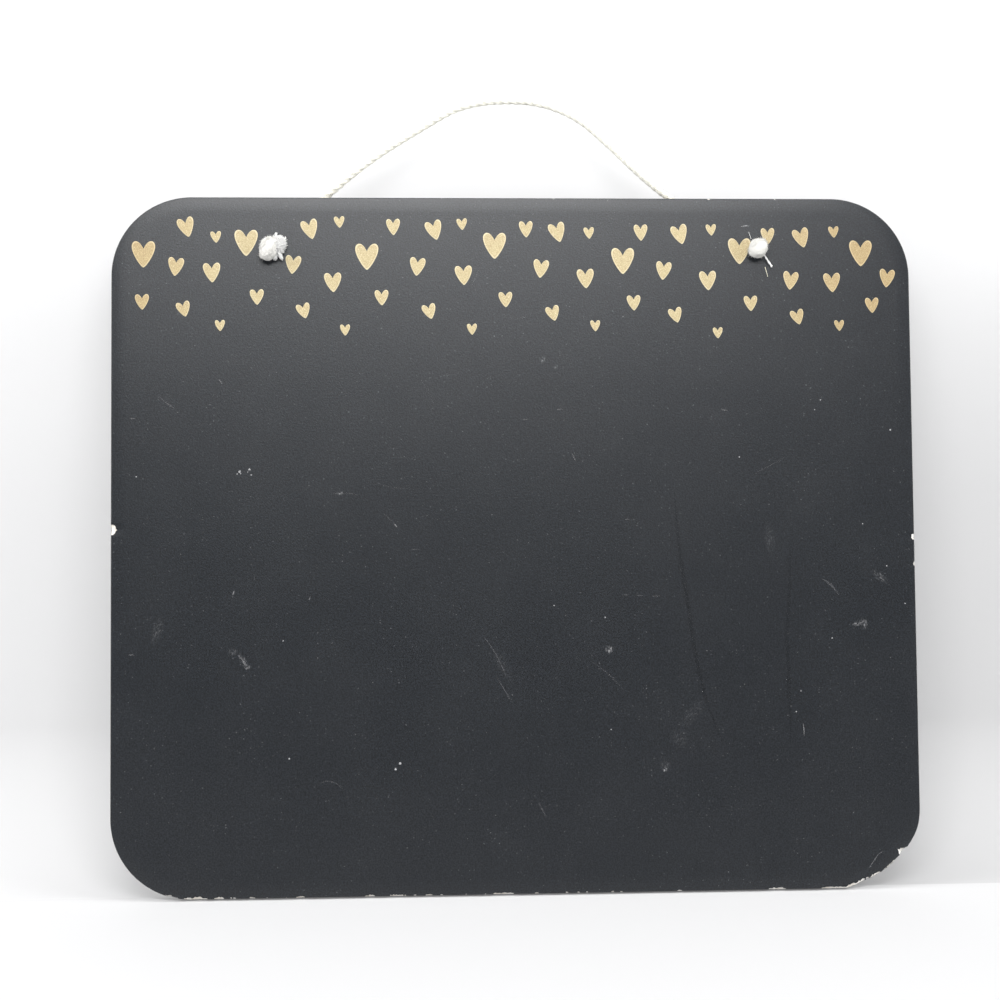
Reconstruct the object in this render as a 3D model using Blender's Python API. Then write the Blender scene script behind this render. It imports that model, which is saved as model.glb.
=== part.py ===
"""Hanging chalkboard: a rounded board with a printed writing face and a knotted cotton rope handle.

Metres, +Z up. The origin is the centre of the board's back face. +X is the right of someone who reads
the board, the writing face looks along -Y, and the rope arch swings behind the board.
"""

import math
from typing import NamedTuple

import bmesh
import bpy
import numpy as np
from mathutils import Matrix, Vector
from mathutils.geometry import interpolate_bezier

MILLIMETRE = 0.001

# Board
BOARD_WIDTH = 0.303
BOARD_HEIGHT = 0.262
CORNER_RADIUS = 0.030
CORE_THICKNESS = 0.00265
EDGE_EASE = 0.0008
EDGE_EASE_STEPS = 3
EDGE_EASE_ANGLE = math.radians(60.0)
CORNER_STEPS = 12

# Writing face, a thin layer bonded to the front of the core
FACE_THICKNESS = 0.0003
FACE_BOND = 0.00005
FACE_MARGIN = 0.0009

# Cord holes, drilled through core and face
HOLE_DIAMETER = 0.0045
HOLE_SPACING = 0.186
HOLE_DROP = 0.0176
HOLE_SIDES = 24
DRILL_OVERRUN = 0.0030

# Heart print: an ornament of small gold hearts, drawn by hand, that repeats along the top
HEART_RELIEF = 0.00008
HEART_PITCH = 0.0468
HEART_BAND_SLOPE = 0.0157
HEART_EDGE_CLEARANCE = 0.0012
HEART_CURVE_STEPS = 6
# Half a heart, in half widths and heights: the notch, the widest point and the tip, with their handles
HEART_NOTCH = ((0.0, 0.70), (0.42, 1.10))
HEART_WIDEST = ((0.98, 1.02), (1.0, 0.80), (1.02, 0.52))
HEART_TIP = ((0.20, 0.0), (0.0, 0.0))


class Motif(NamedTuple):
    """One heart of the repeat, in metres and degrees."""

    width: float
    height: float
    tilt: float
    from_left: float
    drop: float
    nudges: dict
    left_out: tuple = ()


HEART_MOTIFS = (
    Motif(0.0089, 0.0103, 0, 0.0035, 0.0190, {0: (8.5, 5.0), 2: (-1.5, 4.5), 3: (0.0, -0.5), 4: (2.0, 4.5)}),
    Motif(0.0064, 0.0077, 14, 0.0275, 0.0130, {0: (0.5, 0.5), 1: (0.0, 0.5), 5: (0.0, 0.5)}),
    Motif(
        0.0040,
        0.0045,
        4,
        0.0395,
        0.0110,
        {0: (-0.5, 6.0), 1: (-1.0, -0.5), 2: (-1.5, -0.5), 3: (0.0, 2.0), 5: (0.5, 0.0)},
    ),
    Motif(
        0.0053,
        0.0064,
        2,
        0.0140,
        0.0125,
        {2: (-2.0, -0.5), 3: (1.5, -0.5), 4: (-1.5, 0.0), 5: (0.5, 0.5)},
        (0, 1, 6),
    ),
    Motif(0.0060, 0.0072, -6, 0.0210, 0.0270, {0: (3.0, 1.5), 5: (2.0, 3.0), 6: (-7.5, 1.5)}),
    Motif(0.0066, 0.0076, 3, 0.0380, 0.0305, {0: (-0.5, 0.0), 1: (-2.0, 3.0), 2: (0.5, -0.5), 5: (1.0, 0.0)}),
    Motif(0.0053, 0.0060, 2, 0.0075, 0.0390, {0: (4.0, 3.0), 1: (0.0, 0.5), 4: (2.0, 0.5)}),
    Motif(0.0053, 0.0059, 14, 0.0255, 0.0440, {0: (1.5, 0.5), 1: (-0.5, 0.5)}),
    Motif(
        0.0038,
        0.0043,
        2,
        0.0415,
        0.0505,
        {0: (-1.0, 0.0), 1: (-1.0, 1.0), 3: (0.0, -2.0), 5: (0.0, -3.5)},
    ),
)

# Rope
ROPE_DIAMETER = 0.0025
EXIT_BEND_RADIUS = 0.0030
EXIT_BEND_INSET = 0.0008
EXIT_BEND_STEPS = 6
LEFT_EXIT_RISE = math.radians(40.0)
RIGHT_EXIT_RISE = math.radians(30.0)
ROPE_JOIN_GAP = 0.0003
SWING_GAP = 0.0005
ARCH_POINTS = 45
ROPE_BEVEL_STEPS = 2
# Fine steps between two chosen points of a route, before it is divided evenly
ROUTE_STEPS = 24
# The arch between its two exits, chosen by hand: across from the board's middle, height above the holes
ARCH_ROUTE = (
    (-0.0815, 0.0098),
    (-0.0710, 0.0191),
    (-0.0618, 0.0270),
    (-0.0521, 0.0344),
    (-0.0423, 0.0408),
    (-0.0325, 0.0468),
    (-0.0228, 0.0523),
    (-0.0129, 0.0552),
    (-0.0032, 0.0561),
    (0.0067, 0.0557),
    (0.0164, 0.0534),
    (0.0262, 0.0484),
    (0.0359, 0.0402),
    (0.0457, 0.0308),
    (0.0554, 0.0222),
    (0.0650, 0.0150),
    (0.0750, 0.0093),
    (0.0830, 0.0052),
)

# Stopper knots: an overhand knot is an open trefoil, wound on a ring
KNOT_STRAND_DIAMETER = 0.0019
KNOT_RING_RADIUS = 0.00275
KNOT_COIL_RADIUS = 0.00122
KNOT_COIL_WIDTH = 0.00137
KNOT_OPENING = math.pi / 6
KNOT_STEPS = 44
KNOT_LEAD_STEPS = 4
KNOT_TAIL_STEPS = 7
KNOT_FACE_GAP = 0.0003
KNOT_LEAST_GAP = 0.0004
# Stretches nearer than this along the strand, in its diameters, are neighbours and have no gap to measure
KNOT_NEIGHBOURS = 2.2
KNOT_GAP_STEPS = 4
LEFT_KNOT_TURN = math.radians(-20.0)
RIGHT_KNOT_TURN = math.radians(-30.0)
# Where each tail ends, from the middle of its knot: right, out from the board's face, up
LEFT_TAIL_END = (0.0032, 0.0024, -0.0012)
RIGHT_TAIL_END = (0.0036, 0.0020, -0.0026)
LEFT_TAIL_HEADING = (0.93, -0.16, 0.34)
RIGHT_TAIL_HEADING = (0.62, -0.10, -0.78)

# Frayed end of the left knot, a flattened brush of loose fibre
FRAY_LENGTH = 0.0046
FRAY_SPREAD = 0.0042
FRAY_FLATNESS = 0.42
FRAY_TUFTS = 9
FRAY_TUFT_DEPTH = 0.18
FRAY_TUFT_SIDES = 4
FRAY_TIP_DROP = 0.10
# The brush's profile from root to tip: share of its length, of its spread and of its tufts' depth
FRAY_PROFILE = ((0.0, 0.22, 0.0), (0.25, 0.34, 0.3), (0.55, 0.66, 0.7), (0.85, 0.94, 1.0), (1.0, 0.86, 1.0))

# Loose yarn of the right knot
YARN_DIAMETER = 0.0007
YARN_DROP = 0.0048
YARN_REACH = 0.0030
YARN_END_HEADING = (0.25, -0.05, -0.97)
YARN_STEPS = 7

# Finishes: colour, roughness, metallic
BOARD_PAINT = ("board_paint", (0.050, 0.051, 0.054), 0.62, 0.0)
CHALK_BLACK = ("chalk_black", (0.044, 0.046, 0.050), 0.58, 0.0)
GOLD_PRINT = ("gold_print", (0.72, 0.56, 0.31), 0.42, 0.35)
COTTON_ROPE = ("cotton_rope", (0.86, 0.84, 0.76), 0.92, 0.0)
COTTON_FRAY = ("cotton_fray", (0.90, 0.89, 0.84), 0.95, 0.0)

FRONT_OF_CORE = -CORE_THICKNESS
MIDDLE_OF_CORE = FRONT_OF_CORE / 2
BACK_OF_FACE = FRONT_OF_CORE - FACE_BOND
FRONT_OF_FACE = BACK_OF_FACE - FACE_THICKNESS
HOLE_HEIGHT = BOARD_HEIGHT / 2 - HOLE_DROP
SWING_AXIS_DEPTH = EXIT_BEND_RADIUS - EXIT_BEND_INSET


def clear_scene():
    for obj in list(bpy.data.objects):
        bpy.data.objects.remove(obj, do_unlink=True)


def finish_of(spec):
    name, colour, roughness, metallic = spec
    material = bpy.data.materials.get(name) or bpy.data.materials.new(name)
    material.use_nodes = True
    shader = material.node_tree.nodes["Principled BSDF"]
    shader.inputs["Base Color"].default_value = (*colour, 1.0)
    shader.inputs["Roughness"].default_value = roughness
    shader.inputs["Metallic"].default_value = metallic
    material.diffuse_color = (*colour, 1.0)
    return material


def object_of(name, mesh, finish, parent=None):
    obj = bpy.data.objects.new(name, mesh)
    obj.data.materials.append(finish_of(finish))
    bpy.context.scene.collection.objects.link(obj)
    obj.parent = parent
    return obj


def rounded_outline(width, height, radius, steps):
    """Corner points of a rounded rectangle in the XZ plane, anticlockwise as seen from the front."""
    outline = []
    corners = ((1, -1, -90), (1, 1, 0), (-1, 1, 90), (-1, -1, 180))
    for side, end, start in corners:
        middle = Vector((side * (width / 2 - radius), end * (height / 2 - radius)))
        for step in range(steps + 1):
            angle = math.radians(start + 90 * step / steps)
            outline.append(middle + radius * Vector((math.cos(angle), math.sin(angle))))
    return outline


def plate_mesh(name, outline, front, back):
    """A closed plate from an outline in the XZ plane, between two depths."""
    bm = bmesh.new()
    face = bm.faces.new([bm.verts.new((point[0], front, point[1])) for point in outline])
    grown = bmesh.ops.extrude_face_region(bm, geom=[face])
    rear = [item for item in grown["geom"] if isinstance(item, bmesh.types.BMVert)]
    bmesh.ops.translate(bm, verts=rear, vec=(0, back - front, 0))
    bmesh.ops.recalc_face_normals(bm, faces=bm.faces)
    mesh = bpy.data.meshes.new(name)
    bm.to_mesh(mesh)
    bm.free()
    return mesh


def helper_object(name, mesh):
    """A tool for a Boolean: it shapes another object and isn't a piece."""
    tool = bpy.data.objects.new(name, mesh)
    bpy.context.scene.collection.objects.link(tool)
    tool.hide_render = True
    tool.display_type = "WIRE"
    return tool


def hole_drill():
    """Both cord holes as one pair of closed cylinders, longer than the board is thick."""
    bm = bmesh.new()
    for side in (-1, 1):
        ring = []
        for step in range(HOLE_SIDES):
            angle = math.tau * step / HOLE_SIDES
            x = side * HOLE_SPACING / 2 + HOLE_DIAMETER / 2 * math.cos(angle)
            z = HOLE_HEIGHT + HOLE_DIAMETER / 2 * math.sin(angle)
            ring.append(bm.verts.new((x, DRILL_OVERRUN, z)))
        end = bm.faces.new(ring)
        grown = bmesh.ops.extrude_face_region(bm, geom=[end])
        front = [item for item in grown["geom"] if isinstance(item, bmesh.types.BMVert)]
        bmesh.ops.translate(bm, verts=front, vec=(0, FRONT_OF_FACE - 2 * DRILL_OVERRUN, 0))
    bmesh.ops.recalc_face_normals(bm, faces=bm.faces)
    mesh = bpy.data.meshes.new("hole_drill")
    bm.to_mesh(mesh)
    bm.free()
    return helper_object("hole_drill", mesh)


def cut_holes(obj, drill):
    cut = obj.modifiers.new("cord_holes", "BOOLEAN")
    cut.operation = "DIFFERENCE"
    cut.object = drill


def board_core(drill):
    outline = rounded_outline(BOARD_WIDTH, BOARD_HEIGHT, CORNER_RADIUS, CORNER_STEPS)
    mesh = plate_mesh("board_core", outline, FRONT_OF_CORE, 0.0)
    core = object_of("board_core", mesh, BOARD_PAINT)
    ease = core.modifiers.new("eased_edges", "BEVEL")
    ease.width = EDGE_EASE
    ease.segments = EDGE_EASE_STEPS
    ease.limit_method = "ANGLE"
    ease.angle_limit = EDGE_EASE_ANGLE
    cut_holes(core, drill)
    return core


def heart_outline(width, height, tilt):
    """A hand-drawn heart: two tall lobes, a deep notch and convex sides down to a small round tip."""
    scale = Vector((width / 2, height))
    notch, rising = (Vector(point) * scale for point in HEART_NOTCH)
    falling, widest, side = (Vector(point) * scale for point in HEART_WIDEST)
    under, tip = (Vector(point) * scale for point in HEART_TIP)
    lobe = interpolate_bezier(notch, rising, falling, widest, HEART_CURVE_STEPS)
    flank = interpolate_bezier(widest, side, under, tip, HEART_CURVE_STEPS)
    half = [*lobe[:-1], *flank]
    points = half + [Vector((-point.x, point.y)) for point in reversed(half[1:-1])]
    turn = Matrix.Rotation(math.radians(tilt), 2)
    return [turn @ (point - Vector((0, height / 2))) for point in points]


def heart_places():
    """Every heart that lies whole on the writing face: its middle and its motif."""
    places = []
    half_face = BOARD_WIDTH / 2 - FACE_MARGIN
    corner_middle = Vector((BOARD_WIDTH / 2 - CORNER_RADIUS, BOARD_HEIGHT / 2 - CORNER_RADIUS))
    for motif in HEART_MOTIFS:
        reach = motif.width / 2 + HEART_EDGE_CLEARANCE
        for repeat in range(math.ceil(BOARD_WIDTH / HEART_PITCH)):
            right, down = motif.nudges.get(repeat, (0, 0))
            x = -BOARD_WIDTH / 2 + motif.from_left + HEART_PITCH * repeat + right * MILLIMETRE
            z = BOARD_HEIGHT / 2 - motif.drop - HEART_BAND_SLOPE * x - down * MILLIMETRE
            from_corner = Vector((abs(x), z)) - corner_middle
            in_corner = from_corner.x > 0 and from_corner.y > 0
            off_corner = in_corner and from_corner.length + reach > CORNER_RADIUS - FACE_MARGIN
            if repeat in motif.left_out or off_corner or abs(x) + reach > half_face:
                continue
            places.append((x, z, motif))
    return places


def heart_print():
    """All the hearts as closed plates that stand a little proud of the writing face."""
    bm = bmesh.new()
    for x, z, motif in heart_places():
        ring = []
        for across, up in heart_outline(motif.width, motif.height, motif.tilt):
            ring.append(bm.verts.new((x + across, FRONT_OF_FACE - HEART_RELIEF, z + up)))
        face = bm.faces.new(ring)
        grown = bmesh.ops.extrude_face_region(bm, geom=[face])
        rear = [item for item in grown["geom"] if isinstance(item, bmesh.types.BMVert)]
        bmesh.ops.translate(bm, verts=rear, vec=(0, HEART_RELIEF + FACE_THICKNESS / 2, 0))
    bmesh.ops.recalc_face_normals(bm, faces=bm.faces)
    mesh = bpy.data.meshes.new("heart_print")
    bm.to_mesh(mesh)
    bm.free()
    tool = helper_object("heart_print", mesh)
    tool.data.materials.append(finish_of(GOLD_PRINT))
    return tool


def chalk_face(drill, core):
    width = BOARD_WIDTH - 2 * FACE_MARGIN
    height = BOARD_HEIGHT - 2 * FACE_MARGIN
    outline = rounded_outline(width, height, CORNER_RADIUS - FACE_MARGIN, CORNER_STEPS)
    mesh = plate_mesh("chalk_face", outline, FRONT_OF_FACE, BACK_OF_FACE)
    face = object_of("chalk_face", mesh, CHALK_BLACK, core)
    printed = face.modifiers.new("hearts", "BOOLEAN")
    printed.operation = "UNION"
    printed.object = heart_print()
    printed.material_mode = "TRANSFER"
    cut_holes(face, drill)
    return face


def smooth_route(points, count):
    """Points at even steps along a smooth curve through hand-chosen points."""
    knots = np.array([points[0], *points, points[-1]], float)
    knots[0] = 2 * knots[1] - knots[2]
    knots[-1] = 2 * knots[-2] - knots[-3]
    fine = []
    for index in range(1, len(knots) - 2):
        a, b, c, d = knots[index - 1 : index + 3]
        slope, bend, twist = c - a, 2 * a - 5 * b + 4 * c - d, 3 * b - a - 3 * c + d
        for t in np.linspace(0, 1, ROUTE_STEPS, endpoint=False):
            fine.append(b + (slope * t + bend * t**2 + twist * t**3) / 2)
    fine = np.array([*fine, knots[-2]])
    along = np.concatenate([[0], np.cumsum(np.linalg.norm(np.diff(fine, axis=0), axis=1))])
    even = np.linspace(0, along[-1], count)
    return np.stack([np.interp(even, along, fine[:, axis]) for axis in range(fine.shape[1])], axis=1)


def eased_join(start, start_heading, end, end_heading, steps):
    """A smooth cubic between two points that leaves and arrives along the given headings."""
    reach = np.linalg.norm(np.subtract(end, start))
    first = np.array(start, float)
    last = np.array(end, float)
    leave = np.array(start_heading, float) * reach
    arrive = np.array(end_heading, float) * reach
    points = []
    for t in np.linspace(0, 1, steps + 1)[1:]:
        points.append(
            (2 * t**3 - 3 * t**2 + 1) * first
            + (t**3 - 2 * t**2 + t) * leave
            + (3 * t**2 - 2 * t**3) * last
            + (t**3 - t**2) * arrive
        )
    return points


def rope_tube(name, points, diameter, finish, parent, origin=(0.0, 0.0, 0.0), widths=None):
    """A closed tube along a line of points, placed with its object's origin where given."""
    curve = bpy.data.curves.new(name, "CURVE")
    curve.dimensions = "3D"
    curve.bevel_depth = diameter / 2
    curve.bevel_resolution = ROPE_BEVEL_STEPS
    curve.use_fill_caps = True
    spline = curve.splines.new("POLY")
    spline.points.add(len(points) - 1)
    for index, point in enumerate(points):
        local = np.subtract(point, origin)
        spline.points[index].co = (*local, 1.0)
        spline.points[index].radius = 1.0 if widths is None else widths[index]
    obj = object_of(name, curve, finish, parent)
    obj.location = origin
    return obj


def exit_path(side, rise):
    """The rope through one hole and its bend behind the board: its points, its end and its heading there."""
    x = side * HOLE_SPACING / 2
    heading = np.array((-side * math.cos(rise), 0.0, math.sin(rise)))
    bend_start = np.array((x, -EXIT_BEND_INSET, HOLE_HEIGHT))
    points = [np.array((x, MIDDLE_OF_CORE + ROPE_JOIN_GAP, HOLE_HEIGHT))]
    for step in range(EXIT_BEND_STEPS + 1):
        angle = math.pi / 2 * step / EXIT_BEND_STEPS
        outward = np.array((0.0, EXIT_BEND_RADIUS * math.sin(angle), 0.0))
        points.append(bend_start + outward + EXIT_BEND_RADIUS * (1 - math.cos(angle)) * heading)
    return points, heading


def rope_exit(name, side, rise, core):
    points, _ = exit_path(side, rise)
    return rope_tube(name, points, ROPE_DIAMETER, COTTON_ROPE, core)


def rope_arch():
    """The free stretch. It turns about a line across the board, level with the holes, just behind it."""
    ends = []
    for side, rise in ((-1, LEFT_EXIT_RISE), (1, RIGHT_EXIT_RISE)):
        points, heading = exit_path(side, rise)
        ends.append(points[-1] + SWING_GAP * heading)
    chosen = [(x, SWING_AXIS_DEPTH, HOLE_HEIGHT + up) for x, up in ARCH_ROUTE]
    points = smooth_route([tuple(ends[0]), *chosen, tuple(ends[1])], ARCH_POINTS)
    axis = (0.0, SWING_AXIS_DEPTH, HOLE_HEIGHT)
    return rope_tube("rope_handle", points, ROPE_DIAMETER, COTTON_ROPE, None, axis)


def trefoil_point(turn):
    """A point of the knot: toward the board, up, right, from the knot's middle."""
    ring = KNOT_RING_RADIUS + KNOT_COIL_RADIUS * math.cos(3 * turn)
    return np.array(
        (ring * math.cos(2 * turn), ring * math.sin(2 * turn), -KNOT_COIL_WIDTH * math.sin(3 * turn))
    )


def knot_path(side, turn, tail_end, tail_heading):
    """One stopper knot's centreline, from inside its hole, round the knot and out along its tail."""

    def placed(local):
        toward, up, right = local
        return np.array(
            (
                right * math.cos(turn) - up * math.sin(turn),
                toward,
                right * math.sin(turn) + up * math.cos(turn),
            )
        )

    turns = np.linspace(KNOT_OPENING, math.tau - KNOT_OPENING, KNOT_STEPS)
    wound = [placed(trefoil_point(angle)) for angle in turns]
    seat = max(point[1] for point in wound) + KNOT_STRAND_DIAMETER / 2
    middle = np.array(
        (
            side * HOLE_SPACING / 2 - wound[0][0],
            FRONT_OF_FACE - KNOT_FACE_GAP - seat,
            HOLE_HEIGHT - wound[0][2],
        )
    )
    wound = [middle + point for point in wound]
    hole_end = np.array((side * HOLE_SPACING / 2, MIDDLE_OF_CORE, HOLE_HEIGHT))
    lead = [hole_end + (wound[0] - hole_end) * step / KNOT_LEAD_STEPS for step in range(KNOT_LEAD_STEPS)]
    right, out, up = tail_end
    end = np.array((middle[0] + right, FRONT_OF_FACE - out, middle[2] + up))
    leaving = wound[-1] - wound[-2]
    leaving = leaving / np.linalg.norm(leaving)
    tail = eased_join(wound[-1], leaving, end, tail_heading, KNOT_TAIL_STEPS)
    return lead + wound + tail


def least_gap(points, diameter):
    """The least clear distance between stretches of a tube that aren't next to each other along it."""
    line = smooth_route([tuple(point) for point in points], KNOT_GAP_STEPS * len(points))
    along = np.concatenate([[0], np.cumsum(np.linalg.norm(np.diff(line, axis=0), axis=1))])
    apart = np.linalg.norm(line[:, None] - line[None, :], axis=2)
    distant = np.abs(along[:, None] - along[None, :]) > KNOT_NEIGHBOURS * diameter
    return float(apart[distant].min() - diameter)


def stopper_knot(name, side, turn, tail_end, tail_heading, core):
    points = knot_path(side, turn, tail_end, tail_heading)
    swell = ROPE_DIAMETER / KNOT_STRAND_DIAMETER
    widths = [1.0] * len(points)
    for step in range(KNOT_LEAD_STEPS):
        widths[step] = swell + (1.0 - swell) * step / KNOT_LEAD_STEPS
    gap = least_gap(points, KNOT_STRAND_DIAMETER)
    print(f"{name}: least gap to itself {gap * 1000:.2f} mm, wanted over {KNOT_LEAST_GAP * 1000:.2f} mm")
    rope_tube(name, points, KNOT_STRAND_DIAMETER, COTTON_ROPE, core, widths=widths)
    return points[-1]


def frayed_end(name, start, heading, core):
    """A flattened brush that flares out of the cut rope, with its fibres drawn into tufts at the end."""
    axis = Vector(heading).normalized()
    depth = Vector((0, 1, 0)) - axis * axis.y
    depth.normalize()
    rise = axis.cross(depth)
    base = Vector(start) + axis * ROPE_JOIN_GAP
    sides = FRAY_TUFT_SIDES * FRAY_TUFTS
    bm = bmesh.new()
    rings = []
    for along, spread, fluted in FRAY_PROFILE:
        ring = []
        for step in range(sides):
            angle = math.tau * step / sides
            flute = 1 - FRAY_TUFT_DEPTH * fluted * (0.5 - 0.5 * math.cos(FRAY_TUFTS * angle))
            radius = FRAY_SPREAD * spread * flute
            flat = FRAY_FLATNESS + (1 - FRAY_FLATNESS) * (1 - along) ** 2
            drop = FRAY_LENGTH * FRAY_TIP_DROP * fluted * (flute - 1) / FRAY_TUFT_DEPTH
            offset = rise * radius * math.cos(angle) + depth * radius * flat * math.sin(angle)
            ring.append(bm.verts.new(base + axis * (FRAY_LENGTH * along + drop) + offset))
        rings.append(ring)
    for near, far in zip(rings, rings[1:]):
        for step, corner in enumerate(near):
            following = (step + 1) % len(near)
            bm.faces.new((corner, near[following], far[following], far[step]))
    bm.faces.new(rings[0])
    bm.faces.new(rings[-1])
    bmesh.ops.triangulate(bm, faces=[face for face in bm.faces if len(face.verts) > 4])
    bmesh.ops.recalc_face_normals(bm, faces=bm.faces)
    mesh = bpy.data.meshes.new(name)
    bm.to_mesh(mesh)
    bm.free()
    mesh.shade_smooth()
    return object_of(name, mesh, COTTON_FRAY, core)


def loose_yarn(name, start, heading, core):
    first = np.array(start) + ROPE_JOIN_GAP * np.array(heading)
    last = first + np.array((YARN_REACH, 0.0, -YARN_DROP))
    points = [first, *eased_join(first, heading, last, YARN_END_HEADING, YARN_STEPS)]
    return rope_tube(name, points, YARN_DIAMETER, COTTON_FRAY, core)


def main():
    clear_scene()
    drill = hole_drill()
    core = board_core(drill)
    chalk_face(drill, core)
    rope_exit("rope_left_exit", -1, LEFT_EXIT_RISE, core)
    rope_exit("rope_right_exit", 1, RIGHT_EXIT_RISE, core)
    rope_arch()
    tail = stopper_knot("left_knot", -1, LEFT_KNOT_TURN, LEFT_TAIL_END, LEFT_TAIL_HEADING, core)
    frayed_end("left_frayed_end", tail, LEFT_TAIL_HEADING, core)
    tail = stopper_knot("right_knot", 1, RIGHT_KNOT_TURN, RIGHT_TAIL_END, RIGHT_TAIL_HEADING, core)
    loose_yarn("right_loose_yarn", tail, RIGHT_TAIL_HEADING, core)


main()
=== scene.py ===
"""Dresses a hanging chalkboard: a painted fibreboard panel, its gold heart print and its knotted cotton rope.

Metres, +Z up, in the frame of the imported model: the origin is the centre of the board's back face and the
writing face looks along -Y.
"""

from __future__ import annotations

import logging
import math
from dataclasses import dataclass, field
from enum import Enum
from typing import Iterable, Sequence

import bmesh
import bpy
import numpy as np
from mathutils import Matrix, Vector
from mathutils.geometry import delaunay_2d_cdt
from mathutils.noise import noise


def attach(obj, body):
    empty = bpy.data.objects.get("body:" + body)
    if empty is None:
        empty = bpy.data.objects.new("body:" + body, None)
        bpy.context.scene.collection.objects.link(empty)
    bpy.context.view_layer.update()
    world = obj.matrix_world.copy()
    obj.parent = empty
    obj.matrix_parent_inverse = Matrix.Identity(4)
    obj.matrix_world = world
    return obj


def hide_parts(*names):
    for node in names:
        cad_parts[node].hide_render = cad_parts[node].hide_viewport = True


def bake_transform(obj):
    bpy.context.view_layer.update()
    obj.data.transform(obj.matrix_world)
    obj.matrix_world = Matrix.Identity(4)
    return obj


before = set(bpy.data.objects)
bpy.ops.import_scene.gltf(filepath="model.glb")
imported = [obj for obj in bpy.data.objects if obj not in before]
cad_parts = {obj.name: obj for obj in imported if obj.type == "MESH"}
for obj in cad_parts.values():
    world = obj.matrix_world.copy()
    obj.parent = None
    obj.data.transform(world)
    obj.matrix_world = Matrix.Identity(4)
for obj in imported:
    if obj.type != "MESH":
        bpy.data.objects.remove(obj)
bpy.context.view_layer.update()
LOG = logging.getLogger("chalkboard")
MILLIMETRE = 0.001
BOARD_WIDTH = 0.303
BOARD_HEIGHT = 0.262
CORNER_RADIUS = 0.030
FACE_PLANE = -0.003
HOLE_HEIGHT = 0.1134
HOLE_ACROSS = 0.093
ROPE_START_DEPTH = -0.0014
SHARP_ANGLE = math.radians(38)
WHITE = (1.0, 1.0, 1.0, 1.0)
Colour = tuple[float, float, float]
Material = bpy.types.Material
Mesh = bpy.types.Mesh
Object = bpy.types.Object
Socket = bpy.types.NodeSocket
Span = tuple[float, float]
Point = Sequence[float]


class Body(str, Enum):
    """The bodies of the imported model."""

    BOARD = "board"
    HANDLE = "handle"


class Slot(str, Enum):
    """The material slots of the record."""

    PANEL = "painted_board"
    FACE = "chalk_black"
    PRINT = "gold_print"
    ROPE = "cotton_rope"
    FRAY = "loose_cotton"


class Side(Enum):
    """Which of the two cord holes a piece belongs to."""

    LEFT = -1
    RIGHT = 1


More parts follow.
